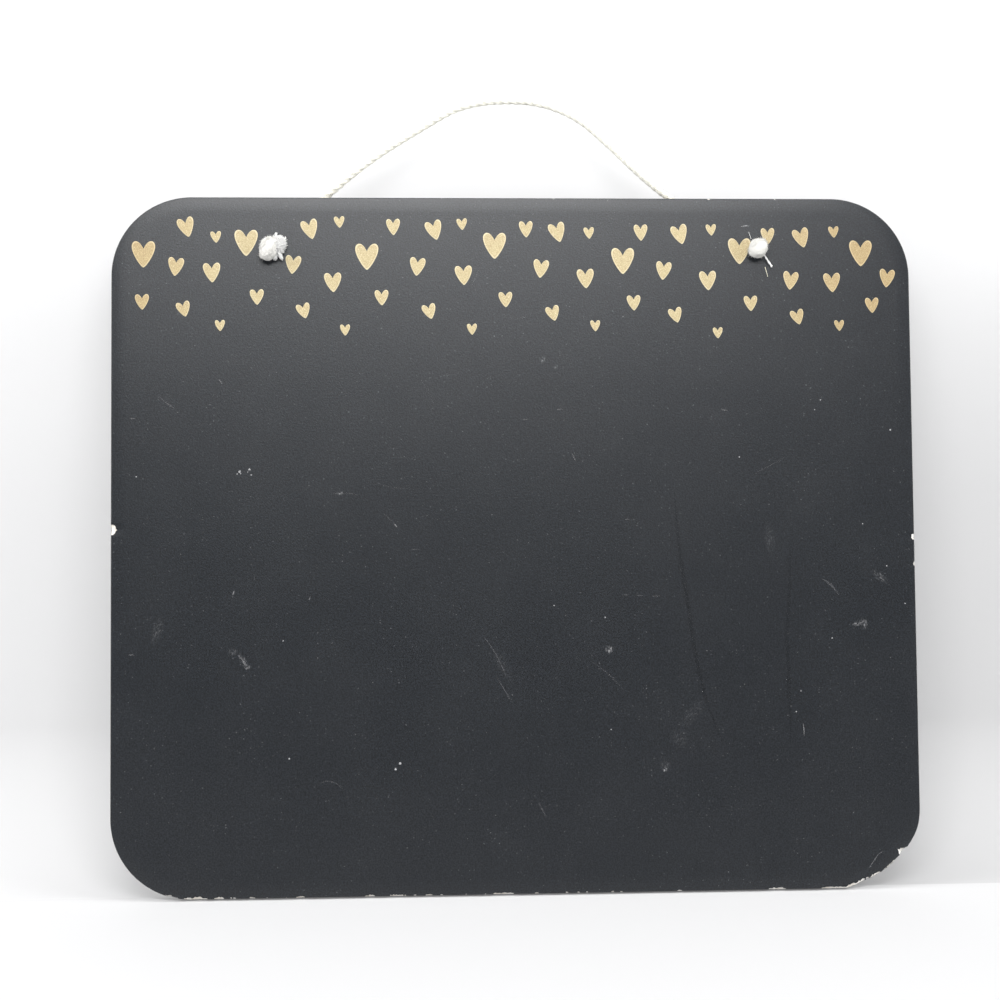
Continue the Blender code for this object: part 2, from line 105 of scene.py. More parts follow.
class Wiring:
    """Adds nodes to one node tree and joins them."""

    def __init__(self, tree: bpy.types.NodeTree) -> None:
        """Keeps the tree that the nodes go into."""
        self.tree = tree

    def add(self, kind: str, inputs: dict | None = None, **settings: object) -> bpy.types.Node:
        """Adds a node.

        Args:
            kind: The node's type name.
            inputs: Values or sockets for its inputs, by name or by place.
            settings: Properties of the node itself.

        Returns:
            The new node.
        """
        node = self.tree.nodes.new(kind)
        for name, value in settings.items():
            setattr(node, name, value)
        self.dress(node, inputs or {})
        return node

    def dress(self, node: bpy.types.Node, inputs: dict) -> None:
        """Feeds several inputs of a node, by name or by place."""
        for name, value in inputs.items():
            self.feed(node.inputs[name], value)

    def feed(self, socket: Socket, value: object) -> None:
        """Sets an input, or links it where the value is a socket.

        Args:
            socket: The input.
            value: A number, vector, colour or socket.
        """
        if isinstance(value, Socket):
            self.tree.links.new(value, socket)
        else:
            socket.default_value = value

    def sum(self, operation: str, *values: object) -> Socket:
        """Adds a Math node on one to three values and returns its result."""
        return self.add("ShaderNodeMath", dict(enumerate(values)), operation=operation).outputs[0]

    def product(self, *values: object) -> Socket:
        """Returns the product of two or more values.

        Args:
            values: Numbers or sockets.

        Returns:
            The product.
        """
        result = values[0]
        for value in values[1:]:
            result = self.sum("MULTIPLY", result, value)
        return result

    def vector(self, operation: str, *values: object) -> Socket:
        """Adds a Vector Math node on one or two vectors and returns its vector."""
        return self.add("ShaderNodeVectorMath", dict(enumerate(values)), operation=operation).outputs[0]

    def scaled(self, vector: object, factor: object) -> Socket:
        """Returns a vector times a number."""
        return self.add("ShaderNodeVectorMath", {0: vector, "Scale": factor}, operation="SCALE").outputs[0]

    def parts(self, vector: object) -> bpy.types.NodeOutputs:
        """Returns a vector's X, Y and Z."""
        return self.add("ShaderNodeSeparateXYZ", {0: vector}).outputs

    def joined(self, **parts: object) -> Socket:
        """Returns the vector with the given X, Y and Z."""
        return self.add("ShaderNodeCombineXYZ", parts).outputs[0]

    def mapped(
        self, value: object, start: float, end: float, low: float = 0.0, high: float = 1.0
    ) -> Socket:
        """Returns a value carried smoothly from one range to another, and held at its ends."""
        inputs = {"Value": value, "From Min": start, "From Max": end, "To Min": low, "To Max": high}
        return self.add("ShaderNodeMapRange", inputs, interpolation_type="SMOOTHSTEP").outputs[0]

    def mixed(self, factor: object, first: object, second: object) -> Socket:
        """Returns a mix of two colours, each a socket or a finish's colour.

        Args:
            factor: The second colour's share.
            first: The first colour.
            second: The second one.

        Returns:
            The mix.
        """
        node = self.add("ShaderNodeMix", data_type="RGBA")
        for socket, value in ((0, factor), (6, first), (7, second)):
            plain = isinstance(value, tuple) and len(value) == 3
            self.feed(node.inputs[socket], (*value, 1) if plain else value)
        return node.outputs[2]

    def noise(self, where: object, scale: object, detail: float = 3.0, rough: float = 0.5) -> Socket:
        """Returns the value of a Noise texture."""
        inputs = {"Vector": where, "Scale": scale, "Detail": detail, "Roughness": rough}
        return self.add("ShaderNodeTexNoise", inputs).outputs[0]

    def painted(self, name: str) -> Socket:
        """Returns a mesh attribute in a material."""
        return self.add("ShaderNodeAttribute", attribute_name=name, attribute_type="GEOMETRY").outputs["Fac"]

    def stored(self, name: str, kind: str = "FLOAT") -> Socket:
        """Returns a mesh attribute in a Geometry Nodes tree."""
        return self.add("GeometryNodeInputNamedAttribute", {"Name": name}, data_type=kind).outputs[0]


class SocketKind(str, Enum):
    """Socket types of a node group's interface."""

    NUMBER = "NodeSocketFloat"
    WHOLE = "NodeSocketInt"
    VECTOR = "NodeSocketVector"
    FINISH = "NodeSocketMaterial"
    SHAPE = "NodeSocketGeometry"

    @classmethod
    def of(cls, value: object) -> SocketKind:
        """The kind that holds a default value, which may itself be a kind."""
        kinds = {float: cls.NUMBER, int: cls.WHOLE, tuple: cls.VECTOR}
        return value if isinstance(value, cls) else kinds[type(value)]


def node_group(
    name: str, kind: str, inputs: dict, *outputs: str, output: SocketKind = SocketKind.NUMBER
) -> tuple[Wiring, bpy.types.NodeOutputs, bpy.types.NodeInputs]:
    """Starts a node group.

    Args:
        name: The group's name.
        kind: The tree's type name.
        inputs: Default values by name, or socket kinds where there is none.
        outputs: The outputs' names.
        output: The outputs' kind.

    Returns:
        The wiring, what the group is given and what it results in.
    """
    tree = bpy.data.node_groups.new(name, kind)
    for label, value in inputs.items():
        socket_kind = SocketKind.of(value)
        socket = tree.interface.new_socket(label, in_out="INPUT", socket_type=socket_kind.value)
        if value is not socket_kind:
            socket.default_value = value
    for label in outputs:
        tree.interface.new_socket(label, in_out="OUTPUT", socket_type=output.value)
    wiring = Wiring(tree)
    return wiring, wiring.add("NodeGroupInput").outputs, wiring.add("NodeGroupOutput").inputs


@dataclass(frozen=True)
class Speckle:
    """Values for the specks group: cells to the metre, share of them filled, size and how torn they are."""

    cells: float
    share: float
    size: float
    torn: float = 0.0


class Effects:
    """Shader node groups that more than one finish uses, each built once."""

    def __init__(self) -> None:
        """Builds every group."""
        self._specks = self._build_specks()
        self.grain = self._build_grain()
        self.smudge = self._build_smudge()
        self.ragged = self._build_ragged()

    @staticmethod
    def place(wiring: Wiring, group: bpy.types.NodeTree, **values: object) -> bpy.types.NodeOutputs:
        """Puts a group into a material with its own values and returns its outputs."""
        inputs = {name.replace("_", " ").title(): value for name, value in values.items()}
        return wiring.add("ShaderNodeGroup", inputs, node_tree=group).outputs

    def specks(self, wiring: Wiring, where: object, kind: Speckle) -> bpy.types.NodeOutputs:
        """Puts specks of one kind into a material and returns their mask and tone."""
        return self.place(wiring, self._specks, where=where, **vars(kind))

    @staticmethod
    def _build_specks() -> bpy.types.NodeTree:
        """Small round dots at random: dust on paint, or flakes in glitter.

        Returns:
            The group.
        """
        inputs = {"Where": SocketKind.VECTOR, "Cells": 400.0, "Share": 0.1, "Size": 0.2, "Torn": 0.0}
        wiring, given, result = node_group("specks", "ShaderNodeTree", inputs, "Mask", "Tone")
        noisy = {"Vector": given["Where"], "Scale": wiring.product(given["Cells"], 5.0), "Detail": 2.0}
        torn = wiring.add("ShaderNodeTexNoise", noisy).outputs["Color"]
        away = wiring.vector("SUBTRACT", torn, (0.5, 0.5, 0.5))
        away = wiring.scaled(away, wiring.sum("DIVIDE", given["Torn"], given["Cells"]))
        moved = wiring.vector("ADD", given["Where"], away)
        cells = wiring.add("ShaderNodeTexVoronoi", {"Vector": moved, "Scale": given["Cells"]}).outputs
        chance = wiring.add("ShaderNodeSeparateColor", {0: cells["Color"]}).outputs
        kept = wiring.sum("LESS_THAN", chance[0], given["Share"])
        size = wiring.product(given["Size"], wiring.sum("ADD", chance[1], 0.35))
        round_dot = wiring.sum("SUBTRACT", 1.0, wiring.sum("DIVIDE", cells["Distance"], size))
        wiring.feed(result["Mask"], wiring.product(kept, wiring.mapped(round_dot, 0.0, 0.5)))
        wiring.feed(result["Tone"], chance[2])
        return wiring.tree

    @staticmethod
    def _build_grain() -> bpy.types.NodeTree:
        """Fine and broad unevenness of a surface, as two values and one height.

        Returns:
            The group.
        """
        inputs = {"Where": SocketKind.VECTOR, "Fine": 1500.0, "Broad": 30.0}
        outputs = ("Height", "Fine Tone", "Broad Tone")
        wiring, given, result = node_group("grain", "ShaderNodeTree", inputs, *outputs)
        fine = wiring.noise(given["Where"], given["Fine"], 2.0, 0.6)
        broad = wiring.noise(given["Where"], given["Broad"], 4.0, 0.55)
        wiring.feed(result["Height"], wiring.sum("MULTIPLY_ADD", broad, 0.25, fine))
        wiring.feed(result["Fine Tone"], fine)
        wiring.feed(result["Broad Tone"], broad)
        return wiring.tree

    @staticmethod
    def _build_smudge() -> bpy.types.NodeTree:
        """A soft, uneven patch of chalk dust on a flat face.

        Returns:
            The group.
        """
        inputs = {"Where": SocketKind.VECTOR, "Middle": (0.0, 0.0, 0.0), "Reach": (1.0, 1.0, 1.0)}
        inputs |= {"Turn": 0.0, "Strength": 0.5}
        wiring, given, result = node_group("smudge", "ShaderNodeTree", inputs, "Mask")
        away = {"Vector": wiring.vector("SUBTRACT", given["Where"], given["Middle"]), "Angle": given["Turn"]}
        turned = wiring.add("ShaderNodeVectorRotate", away, rotation_type="Y_AXIS").outputs[0]
        flat = wiring.vector("MULTIPLY", wiring.vector("DIVIDE", turned, given["Reach"]), (1.0, 0.0, 1.0))
        length = wiring.add("ShaderNodeVectorMath", {0: flat}, operation="LENGTH").outputs["Value"]
        inside = wiring.mapped(length, 0.15, 1.0, 1.0, 0.0)
        drawn = wiring.vector("MULTIPLY", turned, (1.0, 1.0, 0.45))
        broken = wiring.mapped(wiring.noise(drawn, 2000.0, 3.0, 0.7), 0.46, 0.66)
        wiring.feed(result["Mask"], wiring.product(inside, broken, given["Strength"]))
        return wiring.tree

    @staticmethod
    def _build_ragged() -> bpy.types.NodeTree:
        """Turns a soft mask, such as bare edge or stroke, into one with a torn border.

        Returns:
            The group.
        """
        inputs = {"Where": SocketKind.VECTOR, "Soft": 0.0, "Scale": 2500.0, "Tear": 0.5}
        wiring, given, result = node_group("ragged", "ShaderNodeTree", inputs, "Mask")
        torn = wiring.noise(given["Where"], given["Scale"], 4.0, 0.65)
        shift = wiring.product(wiring.sum("SUBTRACT", torn, 0.5), given["Tear"])
        wiring.feed(result["Mask"], wiring.mapped(wiring.sum("ADD", given["Soft"], shift), 0.42, 0.58))
        return wiring.tree


@dataclass(frozen=True)
class Finish:
    """What every finish shares: a name, and a Principled shader to be fed."""

    name: str

    def start(self) -> tuple[Material, Wiring, bpy.types.Node, Socket]:
        """Makes the material.

        Returns:
            The material, its wiring, its shader and the Object coordinates.
        """
        material = bpy.data.materials.new(self.name)
        material.use_nodes = True
        wiring = Wiring(material.node_tree)
        shader = material.node_tree.nodes["Principled BSDF"]
        where = wiring.add("ShaderNodeTexCoord").outputs["Object"]
        return material, wiring, shader, where

    @staticmethod
    def bumped(
        wiring: Wiring, height: object, distance: float, strength: float, normal: object | None = None
    ) -> Socket:
        """The normal that a height gives, on top of another normal if there is one.

        Args:
            wiring: The material's wiring.
            height: The height.
            distance: What a height of one stands for.
            strength: The strength.
            normal: The normal that the bump is laid on.

        Returns:
            The new normal.
        """
        inputs = {"Strength": strength, "Distance": distance, "Height": height}
        if normal is not None:
            inputs["Normal"] = normal
        return wiring.add("ShaderNodeBump", inputs).outputs[0]


@dataclass(frozen=True)
class Smudge:
    """A patch of chalk dust, in millimetres and degrees."""

    x: float
    z: float
    wide: float
    high: float
    turn: float
    strength: float


SMUDGES = (
    Smudge(-66.4, 19.0, 1.5, 0.9, 0, 0.60),
    Smudge(10.2, 69.2, 1.6, 1.8, 0, 0.35),
    Smudge(15.1, 66.5, 1.2, 1.2, 0, 0.30),
    Smudge(95.7, 0.6, 2.6, 7.5, 4, 0.11),
    Smudge(137.8, -13.9, 2.0, 4.8, 54, 0.26),
    Smudge(128.6, -31.6, 1.3, 2.4, -70, 0.52),
    Smudge(131.4, -31.6, 1.8, 2.8, 20, 0.40),
    Smudge(-134.3, -32.0, 2.4, 7.0, -16, 0.15),
    Smudge(34.2, -40.5, 1.9, 1.9, 10, 0.80),
    Smudge(54.6, -85.5, 1.2, 1.2, 0, 0.85),
    Smudge(54.9, -84.0, 2.6, 3.0, 0, 0.13),
    Smudge(65.6, -64.6, 3.4, 9.0, -42, 0.08),
    Smudge(60.2, -74.0, 5.0, 4.5, -30, 0.08),
    Smudge(-102.6, -43.2, 1.5, 4.0, 32, 0.36),
    Smudge(-106.3, -40.0, 2.4, 1.9, 0, 0.20),
    Smudge(-101.0, -45.6, 1.6, 1.1, 0, 0.40),
    Smudge(-6.0, -46.0, 3.0, 9.5, 28, 0.07),
)


@dataclass(frozen=True)
class ChalkFace(Finish):
    """Matt black board paint: finely pebbled, dusted with old chalk and wiped in broad cloudy strokes."""

    black: Colour = (0.0100, 0.0121, 0.0154)
    worn: Colour = (0.0111, 0.0132, 0.0165)
    chalk: Colour = (0.42, 0.42, 0.43)
    clouds: Span = (0.35, 0.70)
    pebbles: tuple = (0.30, 0.70, 0.45, 1.60)
    patch_scale: float = 75.0
    haze: tuple = (0.52, 0.80, 0.0, 0.008)
    gathered: tuple = (0.40, 0.62, 0.09, 0.36)
    drawn: tuple = (0.85, 1.0, 1.1)
    dust: Speckle = Speckle(860.0, 0.34, 0.25, 0.9)
    crumbs: Speckle = Speckle(240.0, 0.045, 0.08, 0.34)
    crumb_strength: float = 0.6
    roughness: float = 0.34
    uneven: float = 0.008
    chalk_roughness: float = 0.4

    def build(self, effects: Effects) -> Material:
        """Builds the material.

        Args:
            effects: The shared shader groups.

        Returns:
            The material.
        """
        material, wiring, shader, where = self.start()
        grain = effects.place(wiring, effects.grain, where=where, fine=1700.0, broad=28.0)
        colour = wiring.mixed(wiring.mapped(grain["Broad Tone"], *self.clouds), self.black, self.worn)
        colour = wiring.scaled(colour, wiring.mapped(grain["Fine Tone"], *self.pebbles))
        patches = wiring.noise(where, self.patch_scale, 6.0, 0.7)
        drawn = wiring.vector("MULTIPLY", where, self.drawn)
        dust = effects.specks(wiring, drawn, self.dust)
        crumbs = effects.specks(wiring, drawn, self.crumbs)
        gathered = wiring.product(dust["Tone"], wiring.mapped(patches, *self.gathered))
        bright = wiring.product(dust["Mask"], gathered)
        rare = wiring.product(wiring.sum("POWER", crumbs["Tone"], 2.0), self.crumb_strength)
        rare = wiring.product(crumbs["Mask"], rare)
        marks = wiring.sum("ADD", wiring.mapped(patches, *self.haze), wiring.sum("MAXIMUM", bright, rare))
        for patch in SMUDGES:
            place = {"middle": (patch.x * MILLIMETRE, FACE_PLANE, patch.z * MILLIMETRE)}
            place |= {"reach": (patch.wide * MILLIMETRE, 1.0, patch.high * MILLIMETRE)}
            place |= {"turn": math.radians(patch.turn), "strength": patch.strength}
            mask = effects.place(wiring, effects.smudge, where=where, **place)["Mask"]
            marks = wiring.sum("MAXIMUM", marks, mask)
        rough = (self.roughness - self.uneven, self.roughness + self.uneven)
        rough = wiring.mapped(grain["Broad Tone"], 0.3, 0.7, *rough)
        values = {"Base Color": wiring.mixed(marks, colour, self.chalk)}
        values |= {"Roughness": wiring.sum("MULTIPLY_ADD", marks, self.chalk_roughness, rough)}
        values |= {"Normal": self.bumped(wiring, grain["Height"], 0.00010, 0.55)}
        wiring.dress(shader, values)
        return material


@dataclass(frozen=True)
class PaintedPanel(Finish):
    """Fibreboard painted black on its edges and back, bare where the attribute named bare says so."""

    paint: Colour = (0.021, 0.021, 0.024)
    dusty: Colour = (0.4, 0.4, 0.4)
    fibre: Colour = (0.76, 0.71, 0.63)
    pale_fibre: Colour = (0.90, 0.88, 0.845)
    dust: Speckle = Speckle(420.0, 0.06, 0.2)
    dust_strength: float = 0.16
    roughness: float = 0.55
    fibre_roughness: float = 0.35

    def build(self, effects: Effects) -> Material:
        """Builds the material.

        Args:
            effects: The shared shader groups.

        Returns:
            The material.
        """
        material, wiring, shader, where = self.start()
        bare = {"soft": wiring.painted("bare"), "scale": 1600.0, "tear": 0.28}
        bare = effects.place(wiring, effects.ragged, where=where, **bare)[0]
        grain = effects.place(wiring, effects.grain, where=where, fine=2600.0, broad=260.0)
        fibre = wiring.mixed(wiring.mapped(grain["Broad Tone"], 0.35, 0.65), self.fibre, self.pale_fibre)
        dust = wiring.product(effects.specks(wiring, where, self.dust)["Mask"], self.dust_strength)
        depth = wiring.sum("MULTIPLY_ADD", bare, -0.8, grain["Height"])
        values = {"Base Color": wiring.mixed(bare, wiring.mixed(dust, self.paint, self.dusty), fibre)}
        values |= {"Roughness": wiring.sum("MULTIPLY_ADD", bare, self.fibre_roughness, self.roughness)}
        values |= {"Normal": self.bumped(wiring, depth, 0.00012, 0.6)}
        wiring.dress(shader, values)
        return material


@dataclass(frozen=True)
class GoldPrint(Finish):
    """Pale gold ink full of fine glitter, lighter along its raised rim, and darkened towards the band's ends
    as painted shade.
    """

    gold: Colour = (0.523, 0.447, 0.262)
    deep: Colour = (0.383, 0.298, 0.161)
    rim: Colour = (0.71, 0.625, 0.415)
    rim_strength: float = 0.6
    # Painted shade: worn is the colour that the print is multiplied by towards both ends of the band, to
    # darken it there.
    worn: Colour = (0.83, 0.75, 0.655)
    worn_left: tuple = (-0.148, -0.104, 0.85, 0.0)
    worn_right: tuple = (0.068, 0.140, 0.0, 1.0)
    flake: Colour = (0.95, 0.85, 0.62)
    flakes: Speckle = Speckle(5200.0, 0.34, 0.5)
    roughness: Span = (0.68, 0.40)
    metal: float = 0.12

    def build(self, effects: Effects) -> Material:
        """Builds the material.

        Args:
            effects: The shared shader groups.

        Returns:
            The material.
        """
        material, wiring, shader, where = self.start()
        grain = effects.place(wiring, effects.grain, where=where, fine=3800.0, broad=900.0)["Fine Tone"]
        flakes = effects.specks(wiring, where, self.flakes)
        body = wiring.mixed(wiring.mapped(grain, 0.34, 0.66), self.deep, self.gold)
        edged = wiring.mixed(wiring.product(wiring.painted("rim"), self.rim_strength), body, self.rim)
        glint = wiring.product(flakes["Mask"], flakes["Tone"])
        # Painted shade: the print is darkened towards the band's left and right ends.
        across = wiring.parts(where)["X"]
        ends = [wiring.mapped(across, *end) for end in (self.worn_left, self.worn_right)]
        worn = wiring.mixed(wiring.sum("ADD", *ends), WHITE, self.worn)
        values = {"Base Color": wiring.vector("MULTIPLY", wiring.mixed(glint, edged, self.flake), worn)}
        values |= {"Metallic": self.metal}
        values |= {"Roughness": wiring.mapped(flakes["Tone"], 0.0, 1.0, *self.roughness)}
        values |= {"Normal": self.bumped(wiring, wiring.sum("ADD", grain, glint), 0.00005, 0.7)}
        wiring.dress(shader, values)
        return material


@dataclass(frozen=True)
class Cotton(Finish):
    """Undyed cotton: warm white, in fine fibres that follow the yarn, shaded deeper between the yarns."""

    white: Colour = (0.84, 0.83, 0.75)
    shade: Colour = (0.80, 0.785, 0.69)
    plain: float = 0.62
    # Painted shade: a patchy tan that darkens the rope below a given height, towards its low ends near the
    # holes.
    stain: Colour = (0.64, 0.57, 0.44)
    stained_height: float = 0.0
    stained_reach: float = 0.032
    glow: float = 0.15
    depth: float = 0.0005
    evenness: float = 0.0
    sheen: float = 0.4
    roughness: float = 0.88

    def build(self, effects: Effects) -> Material:
        """Builds the material.

        Args:
            effects: The shared shader groups.

        Returns:
            The material.
        """
        material, wiring, shader, where = self.start()
        grain = effects.place(wiring, effects.grain, where=where, fine=5200.0, broad=420.0)
        tone = wiring.mapped(grain["Fine Tone"], 0.30, 0.60, 0.0, 0.55)
        colour = wiring.mixed(self.plain, wiring.mixed(tone, self.shade, self.white), self.white)
        # Painted shade: darker and tan in patches below the given height, fading out over the reach above it.
        if self.stained_height:
            top = self.stained_height + self.stained_reach
            near = wiring.mapped(wiring.parts(where)["Z"], self.stained_height, top, 1.0, 0.0)
            patchy = wiring.mapped(grain["Broad Tone"], 0.40, 0.62, 0.35, 0.8)
            colour = wiring.mixed(wiring.product(near, patchy), colour, self.stain)
        values = {"Base Color": colour, "Roughness": self.roughness, "Specular IOR Level": 0.2}
        values |= {"Subsurface Weight": self.glow, "Subsurface Radius": (self.depth,) * 3}
        values |= {"Subsurface Scale": 1.0, "Sheen Weight": self.sheen, "Sheen Roughness": 0.5}
        values |= {"Normal": self.bumped(wiring, grain["Fine Tone"], 0.00006, 0.6, self.felted(wiring))}
        wiring.dress(shader, values)
        return material

    def felted(self, wiring: Wiring) -> Socket | None:
        """The normal of a felted surface, whose loose fibres even out the light over its curve.

        Args:
            wiring: The material's wiring.

        Returns:
            The normal, or None where nothing is felted.
        """
        if not self.evenness:
            return None
        facing = {"vector_type": "NORMAL", "convert_from": "OBJECT", "convert_to": "WORLD"}
        front = wiring.add("ShaderNodeVectorTransform", {0: (0.0, -self.evenness, 0.0)}, **facing).outputs[0]
        own = wiring.add("ShaderNodeNewGeometry").outputs["Normal"]
        blended = wiring.vector("MULTIPLY_ADD", own, (1 - self.evenness,) * 3, front)
        return wiring.vector("NORMALIZE", blended)


@dataclass(frozen=True)
class ChalkMark(Finish):
    """A mark on the board that is broken up by the paint's grain."""

    colour: Colour = (0.45, 0.45, 0.46)
    dimmed: float = 0.7
    cover: float = 0.6
    broken: float = 0.60

    def build(self, effects: Effects) -> Material:
        """Builds the material.

        Args:
            effects: The shared shader groups.

        Returns:
            The material.
        """
        material, wiring, shader, where = self.start()
        torn = effects.place(wiring, effects.ragged, where=where, soft=self.broken, scale=2400.0, tear=1.0)[0]
        shade = tuple(part * self.dimmed for part in self.colour)
        values = {"Base Color": wiring.mixed(wiring.noise(where, 1500.0, 2.0), shade, self.colour)}
        values |= {"Roughness": 0.85, "Alpha": wiring.product(torn, wiring.painted("strength"), self.cover)}
        wiring.dress(shader, values)
        return material


@dataclass(frozen=True)
class StudioPaper(Finish):
    """The pale sweep, whose glow carries painted light and shade: brighter higher up, dimmer to the right and
    at the foot. It isn't there for light from behind, so that the back of the board stays lit.
    """

    shade: float
    glow: float
    glow_low: float
    right_dim: float = 0.0
    foot_dim: float = 0.0
    seen_only: bool = False
    rise: Span = (-0.06, 0.22)
    rightwards: Span = (-0.05, 0.17)
    upwards: Span = (0.02, 0.18)
    foot: Span = (-0.13, -0.07)

    def build(self) -> Material:
        """Builds the material.

        Returns:
            The material.
        """
        material, wiring, shader, where = self.start()
        material.node_tree.nodes.remove(shader)
        path = wiring.add("ShaderNodeLightPath").outputs
        facing = wiring.sum("SUBTRACT", 1.0, wiring.add("ShaderNodeNewGeometry").outputs["Backfacing"])
        seen = wiring.sum("MAXIMUM", path["Is Camera Ray"], path["Is Glossy Ray"])
        seen = wiring.sum("MAXIMUM", seen, path["Is Transmission Ray"])
        # Painted light and shade: the glow rises from glow_low to glow with height, and is dimmed towards the
        # right lower down and at the foot of the sweep.
        parts = wiring.parts(where)
        right = wiring.mapped(parts["X"], *self.rightwards, 0.0, self.right_dim)
        dimmed = wiring.product(right, wiring.mapped(parts["Z"], *self.upwards, 1.0, 0.0))
        risen = wiring.mapped(parts["Z"], *self.rise, self.glow_low, self.glow)
        level = wiring.sum("SUBTRACT", risen, dimmed)
        level = wiring.sum("ADD", level, wiring.mapped(parts["Z"], *self.foot, -self.foot_dim, 0.0))
        matt = wiring.add("ShaderNodeBsdfDiffuse", {"Color": (self.shade, self.shade, self.shade * 1.01, 1)})
        glow = wiring.add("ShaderNodeEmission", {"Color": WHITE, "Strength": wiring.product(level, seen)})
        paper = wiring.add("ShaderNodeAddShader", {0: matt.outputs[0], 1: glow.outputs[0]})
        shown = wiring.product(facing, path["Is Camera Ray"]) if self.seen_only else facing
        clear = wiring.add("ShaderNodeBsdfTransparent")
        both = wiring.add("ShaderNodeMixShader", {0: shown, 1: clear.outputs[0], 2: paper.outputs[0]})
        wiring.feed(material.node_tree.nodes["Material Output"].inputs["Surface"], both.outputs[0])
        return material


def piece(name: str, mesh: Mesh, material: Material) -> Object:
    """Makes an object at the origin from a mesh and logs it.

    Args:
        name: The object's name.
        mesh: Its mesh.
        material: Its one material.

    Returns:
        The object.
    """
    mesh.name = name
    obj = bpy.data.objects.new(name, mesh)
    bpy.context.scene.collection.objects.link(obj)
    mesh.materials.clear()
    mesh.materials.append(material)
    LOG.info("%s: %d faces", name, len(mesh.polygons))
    return obj


def settle(slot: Slot, *pieces: Object) -> None:
    """Lets pieces ride with the board.

    Args:
        slot: The material slot; not used.
        pieces: The pieces.
    """
    for made in pieces:
        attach(made, Body.BOARD.value)


def mesh_of(name: str, bm: bmesh.types.BMesh) -> Mesh:
    """Turns a bmesh into a smooth-shaded mesh and frees it.

    Args:
        name: The mesh's name.
        bm: The bmesh.

    Returns:
        The mesh.
    """
    mesh = bpy.data.meshes.new(name)
    bm.to_mesh(mesh)
    bm.free()
    mesh.shade_smooth()
    return mesh


def carrier_mesh(name: str, lines: Iterable[np.ndarray], numbers: dict[str, Sequence]) -> Mesh:
    """Makes a mesh of bare lines or points for a Geometry Nodes tree to work on.

    Args:
        name: The mesh's name.
        lines: Each line's points.
        numbers: Values for every point by attribute name, as numbers or as vectors.

    Returns:
        The mesh.
    """
    points: list[tuple] = []
    edges: list[tuple[int, int]] = []
    for line in lines:
        first = len(points)
        points += [tuple(point) for point in line]
        edges += [(first + step, first + step + 1) for step in range(len(line) - 1)]
    mesh = bpy.data.meshes.new(name)
    mesh.from_pydata(points, edges, [])
    for label, values in numbers.items():
        flat = np.array(values, np.float32)
        kind, key = ("FLOAT_VECTOR", "vector") if flat.ndim == 2 else ("FLOAT", "value")
        mesh.attributes.new(label, kind, "POINT").data.foreach_set(key, flat.ravel())
    return mesh


def grown(
    name: str, mesh: Mesh, tree: bpy.types.NodeTree, finish: Material, **values: object
) -> Mesh:
    """Runs a Geometry Nodes tree on a mesh and returns the result as a plain mesh.

    Args:
        name: The name of the result.
        mesh: What the tree starts from.
        tree: The tree.
        finish: The finish, for the tree's input of that name.
        values: Values for the tree's other inputs, by name in small letters.

    Returns:
        The new mesh.
    """
    carrier = bpy.data.objects.new(name + "_carrier", mesh)
    bpy.context.scene.collection.objects.link(carrier)
    modifier = carrier.modifiers.new(tree.name, "NODES")
    modifier.node_group = tree
    given = {label.replace("_", " ").title(): value for label, value in values.items()} | {"Finish": finish}
    for item in tree.interface.items_tree:
        if item.item_type == "SOCKET" and item.in_out == "INPUT" and item.name in given:
            modifier[item.identifier] = given[item.name]
    depsgraph = bpy.context.evaluated_depsgraph_get()
    result = bpy.data.meshes.new_from_object(carrier.evaluated_get(depsgraph), depsgraph=depsgraph)
    bpy.data.objects.remove(carrier, do_unlink=True)
    result.name = name
    return result


def smooth_route(points: Sequence[Point], count: int, fineness: int = 24) -> np.ndarray:
    """Points at even steps along a smooth curve through given points.

    Args:
        points: The chosen points.
        count: How many points to return.
        fineness: Steps from one chosen point to the next.

    Returns:
        The points.
    """
    knots = np.array([points[0], *points, points[-1]], float)
    knots[0] = 2 * knots[1] - knots[2]
    knots[-1] = 2 * knots[-2] - knots[-3]
    fine = []
    for index in range(1, len(knots) - 2):
        a, b, c, d = knots[index - 1 : index + 3]
        for t in np.linspace(0, 1, fineness, endpoint=False):
            bent = (c - a) * t + (2 * a - 5 * b + 4 * c - d) * t**2 + (3 * b - a - 3 * c + d) * t**3
            fine.append(b + 0.5 * bent)
    line = np.array([*fine, knots[-2]])
    along = arc_lengths(line)
    even = np.linspace(0, along[-1], count)
    return np.stack([np.interp(even, along, line[:, axis]) for axis in range(line.shape[1])], axis=1)


def arc_lengths(line: np.ndarray) -> np.ndarray:
    """How far each point of a line is from its start, along it."""
    return np.concatenate([[0], np.cumsum(np.linalg.norm(np.diff(line, axis=0), axis=1))])


# Half a heart in half widths and heights, as two arcs: from the notch over the lobe, then down to the tip
HEART_ARCS = (
    ((0.0, 0.70), (0.42, 1.10), (0.98, 1.02), (1.0, 0.80)),
    ((1.0, 0.80), (1.02, 0.52), (0.20, 0.0), (0.0, 0.0)),
)


